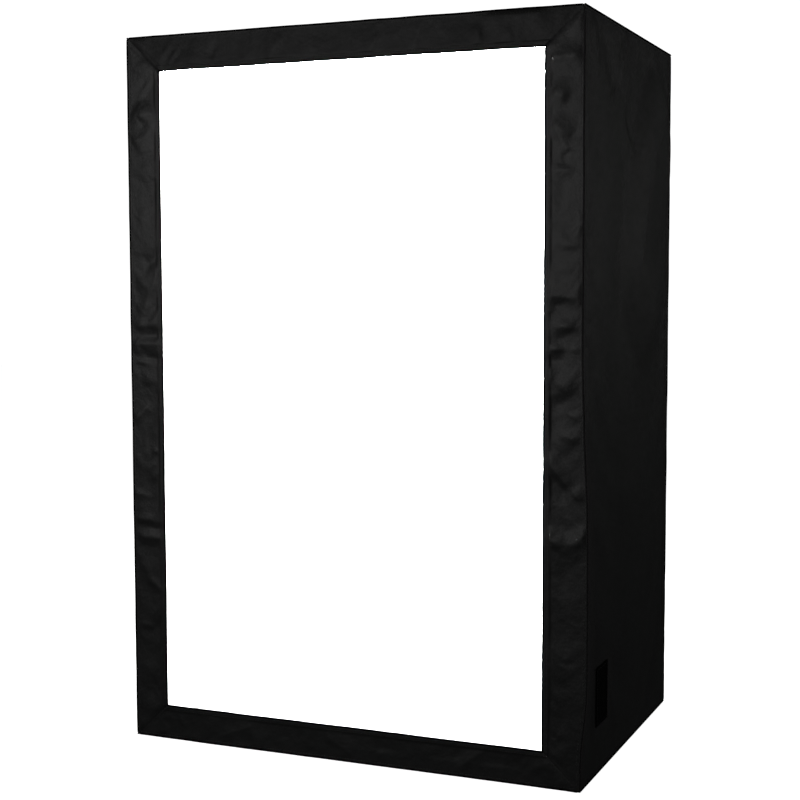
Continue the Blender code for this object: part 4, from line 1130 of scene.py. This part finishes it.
def build_flap(name, port, across, up, seed):
    """A bound flap of loop cloth: soft in the middle, wrapped in tape round its edge."""
    inner = BINDING - BINDING_STEP
    marks = [(inner, BINDING, long - BINDING, long - inner) for long in port.size]
    lines = [grid_lines(long, FLAP_PITCH, at) for long, at in zip(port.size, marks)]
    flap = Panel(name, port.corner, across, up, *lines)
    for finish in (flap_black, hook_strip, binding_black):
        flap.obj.data.materials.append(finish)
    border = flap.from_border()
    soft = 0.0007 * noise_at(flap.u, flap.v, 0.05, seed) + 0.0006 * ease(BINDING, 0.04, border)
    tape = BINDING_RAISED * (1 - ease(inner, BINDING, border)) * ease(0, BINDING_STEP, border)
    flap.lay(flap.flat + flap.raised_by(soft * ease(BINDING, 0.02, border) + tape - BINDING_RAISED))
    corners = face_corners(flap.obj.data)
    for face in flap.obj.data.polygons:
        points = corners[face.loop_start:face.loop_start + face.loop_total]
        u, v = flap.u[points].mean(), flap.v[points].mean()
        face.material_index = 2 if min(u, flap.width - u, v, flap.height - v) < BINDING else 0
    thicken(flap.obj, FLAP_THICK - BINDING_RAISED)
    declare(flap, name, name)
    return flap.obj


flaps = {name: build_flap(name, *row) for name, row in FLAPS.items()}
print("flaps:", side_port.size, roof_port.size)

# %% [markdown]
# ## Cords and tapes that run round
#
# The twelve edges of the box are piped: a thin cord is sewn into each seam, and it is what draws the
# crisp dark line along every edge; the light line down the front right upright is a painted
# highlight. A ring of piping is a torus whose big circle is led round a rectangle with rounded
# corners. The same ring, pressed flat, is the rolled edge of the opening and the binding round each port.

# %% Rings
CORNER_TURNS = 6
RING_SIDES = 8
TORUS_TUBE = 0.25


def round_path(low, high, bend, pitch):
    """Points round a rectangle with rounded corners, anticlockwise, and the outward direction at each."""
    (x0, y0), (x1, y1) = low, high
    middles = [(x1 - bend, y0 + bend), (x1 - bend, y1 - bend), (x0 + bend, y1 - bend), (x0 + bend, y0 + bend)]
    points, outwards = [], []
    for i, middle in enumerate(middles):
        for step in range(CORNER_TURNS + 1):
            turn = math.radians(90 * (i - 1) + 90 * step / CORNER_TURNS)
            outward = np.array([math.cos(turn), math.sin(turn)])
            points.append(np.array(middle) + bend * outward)
            outwards.append(outward)
        end = np.array(middles[(i + 1) % 4]) + bend * outward
        parts = max(1, round(np.linalg.norm(end - points[-1]) / pitch))
        start = points[-1]
        for part in range(1, parts):
            points.append(start + (end - start) * part / parts)
            outwards.append(outward)
    return np.array(points), np.array(outwards)


def lay_uv_along(mesh, along, around, whole):
    """A UV map in metres: along the cord, and round it. Faces that close the ring keep their true length."""
    layout = np.column_stack([along, around])[face_corners(mesh)]
    for face in mesh.polygons:
        part = layout[face.loop_start:face.loop_start + face.loop_total, 0]
        if np.ptp(part) > whole / 2:
            part[part < whole / 2] += whole
    mesh.uv_layers.active.data.foreach_set("uv", layout.ravel())


def ring(name, corner, across, up, area, bend, half_wide, half_thick, material, pitch=0.012, wander=0.0,
         follows=None):
    """A ring round a rectangle in the plane of across and up. half_wide lies in that plane.

    follows gives how far each of its places is moved, where the cloth that it edges isn't flat.
    """
    path, outwards = round_path((area[0], area[2]), (area[1], area[3]), bend, pitch)
    made = add(
        bpy.ops.mesh.primitive_torus_add, major_segments=len(path), minor_segments=RING_SIDES,
        major_radius=1.0, minor_radius=TORUS_TUBE)
    made.name = made.data.name = name
    flat = mesh_points(made.data)
    index = np.rint(np.arctan2(flat[:, 1], flat[:, 0]) / (2 * math.pi) * len(path)).astype(int) % len(path)
    aside, above = (np.hypot(flat[:, 0], flat[:, 1]) - 1) / TORUS_TUBE, flat[:, 2] / TORUS_TUBE
    steps = np.linalg.norm(np.roll(path, -1, axis=0) - path, axis=1)
    along, whole = np.cumsum(steps) - steps, steps.sum()
    across, up = np.array(across, float), np.array(up, float)
    outward = np.outer(outwards[:, 0], across) + np.outer(outwards[:, 1], up)
    places = np.array(corner) + np.outer(path[:, 0], across) + np.outer(path[:, 1], up)
    places = places + outward * (wander * noise_at(along, along * 0, 0.05, 83))[:, None]
    if follows:
        places = places + follows(places)
    thick = np.outer(above * half_thick, np.cross(across, up))
    set_points(made.data, places[index] + outward[index] * (aside * half_wide)[:, None] + thick)
    lay_uv_along(made.data, along[index], np.arctan2(above, aside) * max(half_wide, half_thick), whole)
    made.data.materials.append(material)
    made.data.shade_smooth()
    belong(made)
    return made


def run(name, start, end, parts=60):
    """A straight piece of piping: a cylinder, cut across into short lengths."""
    start, end = Vector(start), Vector(end)
    length = (end - start).length
    made = add(
        bpy.ops.mesh.primitive_cylinder_add, vertices=RING_SIDES, radius=PIPING_RADIUS, depth=length,
        location=(start + end) / 2, rotation=(end - start).to_track_quat("Z", "Y").to_euler())
    made.name = made.data.name = name

    def runs_along(edge):
        low, high = (made.data.vertices[i].co.z for i in edge.vertices)
        return abs(high - low) > length / 2

    pick(made, "EDGE", runs_along)
    bpy.ops.mesh.subdivide(number_cuts=parts)
    mode("OBJECT")
    bpy.ops.object.transform_apply(location=True, rotation=True, scale=True)
    made.data.materials.append(piping_black)
    made.data.shade_smooth()
    belong(made)


# %% [markdown]
# ## Piping and bindings
#
# The front ring of piping follows the seam that bows out on the right, and lies a little deeper there
# between its two cloths. That side has a lighter, glossier copy of the piping's finish, which is a
# painted highlight. The rolled edge of the opening comes forward with the top band.

# %% Piping, the opening's rolled edge and the ports' bindings
PIPING_RADIUS = 0.0019
PIPING_LOW = 0.0014
PIPING_BEND = 0.006
SEAM_DEEPER = 0.0009
RIGHT_EDGE = RIGHT - 0.004
outline = (LEFT, RIGHT, PIPING_LOW, TOP)
opening = (LEFT + BAND_SIDE, RIGHT - BAND_SIDE, BAND_END, TOP - BAND_END)


def with_the_seam(places):
    """The piping's front right upright goes out with the loose seam, and lies deeper between its cloths."""
    bowed = np.outer(seam_bow(places[:, 2]), X)
    return (places[:, 0] > RIGHT_EDGE)[:, None] * (bowed + np.array([-SEAM_DEEPER, SEAM_DEEPER, 0]))


def with_the_top_band(places):
    """The rolled edge comes forward with the top band's inner edge."""
    forward = TOP_BAND_FORWARD * ease(0.0, CORNER_FADE, opening[1] - np.abs(places[:, 0]))
    return np.outer(forward * (places[:, 2] > opening[3] - 0.001), BACK_Y)


PIPING = (PIPING_BEND, PIPING_RADIUS, PIPING_RADIUS, piping_black)
front_piping = ring(
    "front_piping", (0, FRONT, 0), X, Z, outline, *PIPING, wander=0.0005, follows=with_the_seam)
# The front right upright takes the lighter copy: its lighter colour is a painted highlight
front_piping.data.materials.append(piping_painted_highlight)
for face in front_piping.data.polygons:
    face.material_index = int(face.center.x > RIGHT_EDGE)
ring("rear_piping", (0, REAR, 0), X, Z, outline, *PIPING, wander=0.0005)
for side, x in (("left", LEFT), ("right", RIGHT)):
    for level_name, z in (("bottom", PIPING_LOW), ("top", TOP)):
        run(f"{level_name}_piping_{side}", (x, FRONT, z), (x, REAR, z))
ring("opening_rolled_edge", (0, FRONT, 0), X, Z, opening, 0.0022, 0.0021, 0.0018, binding_black,
     wander=0.0004, follows=with_the_top_band)
ring("side_port_binding", (RIGHT - CLOTH_THICK, FRONT, 0), Y, Z, side_port.window, 0.004, 0.0030, 0.0009,
     binding_black, 0.006)
ring("roof_port_binding", (LEFT, FRONT, TOP - CLOTH_THICK), X, Y, roof_port.window, 0.006, 0.0035, 0.0009,
     binding_black, 0.008)
print("piping and bindings added")

# %% [markdown]
# ## The zip
#
# The zip up the middle of the rear wall is a woven tape with a row of small moulded teeth on each
# side of its slit, which hook into each other. One tooth is a block, drawn in at its tip and
# bevelled. It is copied up both sides, half a pitch apart, and a metal stop closes each end.

# %% Zip
TOOTH_PITCH = 0.0022
TOOTH_SIZE = (0.0034, 0.0013, 0.0019)
TOOTH_ASIDE = 0.0009
TEETH_START = 0.006
STOP_SIZE = (0.0086, 0.0022, 0.0040)
STOP_START = 0.0035
TAPE_THICK = 0.0008
TAPE_LIFT = 0.0003
zip_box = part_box("rear_zip_chain")
zip_height = zip_box[1].z - zip_box[0].z
zip_width = zip_box[1].x - zip_box[0].x
tape_face = REAR + TAPE_LIFT + TAPE_THICK

tape_marks = [zip_width / 2 + aside for aside in (-0.0045, -0.0030, 0.0030, 0.0045)]
tape = Panel(
    "rear_zip_tape", (zip_width / 2, tape_face, zip_box[0].z), BACK_X, Z,
    grid_lines(zip_width, 0.003, tape_marks), grid_lines(zip_height, 0.012))
tape_edge = 1 - ease(0.0, 0.0012, np.minimum(tape.u, zip_width - tape.u))
tape.lay(tape.flat + tape.raised_by(-0.0003 * tape_edge))
thicken(tape.obj, TAPE_THICK, (zip_tape_black, zip_tape_black))
declare(tape, "rear_zip_chain")


def make_block(size):
    """A block of a size, ready to be shaped."""
    made = add(bpy.ops.mesh.primitive_cube_add, size=1.0)
    made.scale = size
    bpy.ops.object.transform_apply(location=True, rotation=True, scale=True)
    return made


def bevel_all(offset, segments):
    bpy.ops.mesh.select_all(action="SELECT")
    bpy.ops.mesh.bevel(offset=offset, segments=segments, affect="EDGES")
    mode("OBJECT")


def zip_teeth_finish():
    """Moulded black teeth, glossy where the slider has run over them."""
    look = Finish("zip_teeth_black", {"Specular IOR Level": 0.45})
    run_over = look.cloudy(0.004, 2.0)
    return look.wired(look.shades(run_over, (0.3, 0.010), (0.7, 0.022)), look.spread(run_over, 0.45, 0.28))


# A tooth lies on the tape: a block drawn in at its tip
tooth = make_block(TOOTH_SIZE)
pick(tooth, "FACE", lambda face: face.normal.x > 0.9)
bpy.ops.transform.resize(value=(1, 0.6, 0.7))
bevel_all(0.00028, 1)
teeth_places = []
for side in (-1, 1):
    facing = Matrix(((side, 0, 0), (0, 0, 1), (0, -side, 0))).to_4x4()
    for i in range(int((zip_height - 2 * TEETH_START) / TOOTH_PITCH)):
        z = zip_box[0].z + TEETH_START + (i + (side > 0) / 2) * TOOTH_PITCH
        place = (-side * TOOTH_ASIDE, tape_face + TOOTH_SIZE[2] / 2 - 0.00005, z)
        teeth_places.append(Matrix.Translation(place) @ facing)
copies("rear_zip_teeth", tooth, teeth_places, zip_teeth_finish())

# An end stop is pressed over both rows: a block with a pinched middle
stop = make_block(STOP_SIZE)
mode("EDIT")
bpy.ops.mesh.subdivide(number_cuts=1)
mode("OBJECT")
pick(stop, "VERT", lambda point: abs(point.co.x) < 1e-5 and point.co.y > 0)
bpy.ops.transform.translate(value=(0, -0.0007, 0))
bevel_all(0.0005, 2)
stop_heights = (zip_box[0].z + STOP_START, zip_box[1].z - STOP_START)
stop_places = [Matrix.Translation((0, tape_face + 0.0008, z)) for z in stop_heights]
zip_stops = copies("rear_zip_stops", stop, stop_places, zip_tape_black)
print(f"zip of {len(teeth_places)} teeth")

# %% [markdown]
# ## Rows of stitches
#
# Every hem is sewn down, and the seams of the box are stitched a second time on the outside to keep
# them flat. A row is given by its two ends. Each stitch is dropped on the cloth that is really there,
# so the rows follow the creases, and on the right band the seam that bows out.

# %% Stitches
HEM_ROW = HEM - 0.0025
SEAM_ROW = 0.0065
BINDING_ROW = 0.005
WALL_HEM = 0.026
BOW_STEPS = 41


def sew(obj, rows, outward, body="tent"):
    """Lays rows of stitches on a piece, lets them ride on its body, and counts them."""
    mesh = obj.data
    surface = BVHTree.FromPolygons([v.co for v in mesh.vertices], [tuple(p.vertices) for p in mesh.polygons])
    outward = Vector(outward)
    places = [place for start, end in rows for place in row_of_stitches(surface, start, end, outward)]
    copies(f"{obj.name}_stitches", stitch, places, thread_black, body)
    return len(places)


def border_rows(corner, across, up, size, inset):
    """The four rows of stitches inside a panel's border."""
    corner, across, up = Vector(corner), Vector(across), Vector(up)
    u, v = size[0] - inset, size[1] - inset
    ends = [(inset, inset), (u, inset), (u, v), (inset, v)]
    places = [corner + across * a + up * b for a, b in ends]
    return list(zip(places, places[1:] + places[:1]))


inner_x, outer_x = RIGHT - BAND_SIDE + HEM_ROW, RIGHT - SEAM_ROW
low_z, high_z = BAND_END - HEM_ROW, TOP - BAND_END + HEM_ROW
floor_z, roof_z = SEAM_ROW, TOP - SEAM_ROW
bowed_ends = [(outer_x + seam_bow(z), z) for z in np.linspace(floor_z, roof_z, BOW_STEPS)]
front_rows = {
    "front_band_right": [((inner_x, low_z), (inner_x, high_z)), *zip(bowed_ends, bowed_ends[1:])],
    "front_band_left": [((-inner_x, low_z), (-inner_x, high_z)), ((-outer_x, floor_z), (-outer_x, roof_z))],
    "front_band_top": [((-inner_x, high_z), (inner_x, high_z)), ((-outer_x, roof_z), (outer_x, roof_z))],
    "front_band_bottom": [((-inner_x, low_z), (inner_x, low_z)), ((-outer_x, floor_z), (outer_x, floor_z))],
}
sewn_count = 0
for name, rows in front_rows.items():
    placed = [((x0, FRONT, z0), (x1, FRONT, z1)) for (x0, z0), (x1, z1) in rows]
    sewn_count += sew(bands[name], placed, BACK_Y)
for name, (corner, across, up, size) in WALLS.items():
    rows = border_rows(corner, across, up, size, SEAM_ROW)
    if name in ("right_wall", "left_wall"):
        rows.append(((corner[0], REAR - WALL_HEM, 0.01), (corner[0], REAR - WALL_HEM, TOP - 0.01)))
    sewn_count += sew(walls[name], rows, Vector(across).cross(Vector(up)))
for name, (port, across, up, _) in FLAPS.items():
    rows = border_rows(port.corner, across, up, port.size, BINDING_ROW)
    sewn_count += sew(flaps[name], rows, Vector(across).cross(Vector(up)), name)
tape_rows = [((x, REAR, zip_box[0].z + 0.004), (x, REAR, zip_box[1].z - 0.004)) for x in (-0.0115, 0.0115)]
sewn_count += sew(tape.obj, tape_rows, Y)
print(f"{sewn_count} stitches")

# %% [markdown]
# ## The finishes of the hard pieces
#
# Tubes, sockets, clips and light bars keep the shape that they have in the frame. Each gets the look
# of its stuff: powder coat with a faint orange peel, moulded nylon with flow marks, drawn aluminium
# with lines along its length, nickelled steel, and an opal diffuser that glows by itself.

# %% Finishes of hard pieces
CHIP_PITCH = 0.0083
DIFFUSER_GLOW = 120.0


def powder_coat(name):
    """Baked powder coat: a faint orange peel, duller where it is scuffed."""
    look = Finish(name, {"Specular IOR Level": 0.5})
    scuffs = look.cloudy(0.03, 6.0, 0.7)
    return look.wired(
        look.shades(scuffs, (0.28, 0.62), (0.42, 0.82)), look.spread(scuffs, 0.5, 0.3),
        look.raised(look.cloudy(0.0018, 2.0), 0.0001))


def moulded_nylon(name):
    """Injection moulded nylon: a little light goes into it, and flow marks show where it cooled."""
    look = Finish(name, {
        "Specular IOR Level": 0.4, "Subsurface Weight": 0.08, "Subsurface Radius": (0.002, 0.0018, 0.0015)})
    flow = look.cloudy(0.02, 4.0, 0.55)
    colour = look.shades(flow, (0.3, (0.76, 0.755, 0.735)), (0.7, (0.82, 0.818, 0.80)))
    return look.wired(colour, look.spread(flow, 0.5, 0.38), look.raised(look.cloudy(0.0007, 2.0), 0.00004))


def worked_metal(name, shade, roughness, along):
    """Metal with fine lines along one axis, from drawing or brushing, and dull blotches."""
    look = Finish(name, {"Metallic": 1.0})
    stretch = [25.0 if axis == along else 2500.0 for axis in "XYZ"]
    drawn = look.node("Mapping", {"Vector": look.places["Object"], "Scale": stretch}).outputs["Vector"]
    lines = look.cloudy(1.0, place=drawn)
    dulled = look.cloudy(0.012, 5.0, 0.65)
    return look.wired(
        look.shades(dulled, (0.3, shade * 0.75), (0.65, shade)),
        look.spread(lines, roughness - 0.06, roughness + 0.10), look.raised(lines, 0.00002))


def board_finish():
    """The lamp board: white varnish, with a row of small yellow chips along the bar."""
    look = Finish("lamp_board_white", {"Specular IOR Level": 0.5, "Roughness": 0.35})
    sockets = {
        "Vector": look.places["Object"], "Scale": 1.0, "Brick Width": CHIP_PITCH, "Row Height": CHIP_PITCH,
        "Mortar Size": CHIP_PITCH * 0.32, "Mortar Smooth": 0.1, "Color1": (0.9, 0.62, 0.12, 1),
        "Color2": (0.85, 0.58, 0.1, 1), "Mortar": (0.85, 0.86, 0.87, 1),
    }
    chips = look.node("TexBrick", sockets, offset=0.0).outputs
    return look.wired(chips["Color"], bump=look.raised(chips["Fac"], 0.0003))


def diffuser_finish():
    """Opal acrylic in front of the lamps: milky, satin, and bright when the lamps are on."""
    look = Finish("diffuser_opal", {
        "Specular IOR Level": 0.5, "Base Color": (0.9, 0.9, 0.9, 1), "Emission Strength": DIFFUSER_GLOW})
    milk = look.cloudy(0.05)
    glow = look.shades(milk, (0.3, 0.96), (0.7, 1.0))
    return look.wired(roughness=look.spread(milk, 0.30, 0.42), glow=glow)


tube_white = powder_coat("frame_tube_white")
nylon_white = moulded_nylon("nylon_white")
button_steel = worked_metal("button_steel", 0.62, 0.28, "Y")
zip_steel = worked_metal("zip_steel", 0.55, 0.30, "Z")
bar_metal = worked_metal("bar_aluminium", 0.78, 0.34, "X")
FINISH_OF = {
    "post_": tube_white, "rail_": tube_white, "corner_": nylon_white, "backdrop_hook": nylon_white,
    "light_clip": nylon_white, "light_cap": nylon_white, "snap_button": button_steel, "rear_zip_": zip_steel,
    "backdrop_bar": bar_metal, "light_channel": bar_metal, "light_lamp_board": board_finish(),
    "light_diffuser": diffuser_finish(),
}
zip_stops.data.materials[0] = zip_steel
replaced = {*bands, *walls, *flaps, "floor_mat", "backdrop_sheet", "rear_zip_chain"}
hard = [name for name in nodes if name not in replaced]
for name in hard:
    nodes[name].data.materials.clear()
    nodes[name].data.materials.append(next(m for key, m in FINISH_OF.items() if key in name))
print(f"{len(hard)} hard pieces finished")

# %% [markdown]
# ## The floor that the tent stands on
#
# A plain pale floor, which takes no part in lighting the cloth, so that the tone of the black walls
# is set by the lamps alone. At the end the patterns that the copies were made from are removed.

# %% Floor and finish
floor = add(bpy.ops.mesh.primitive_plane_add, size=24.0, location=(0, 0, -0.0020))
floor.name = "floor"
floor_look = Finish("floor_pale", {
    "Roughness": 0.8, "Specular IOR Level": 0.1, "Emission Color": (1, 1, 1, 1), "Emission Strength": 1.0})
floor_tone = floor_look.shades(floor_look.cloudy(0.6), (0.2, 0.60), (0.8, 0.64))
floor.data.materials.append(floor_look.wired(floor_tone))
floor.visible_diffuse = False
floor.visible_glossy = False

for pattern in (stitch, tooth, stop):
    bpy.data.objects.remove(pattern)
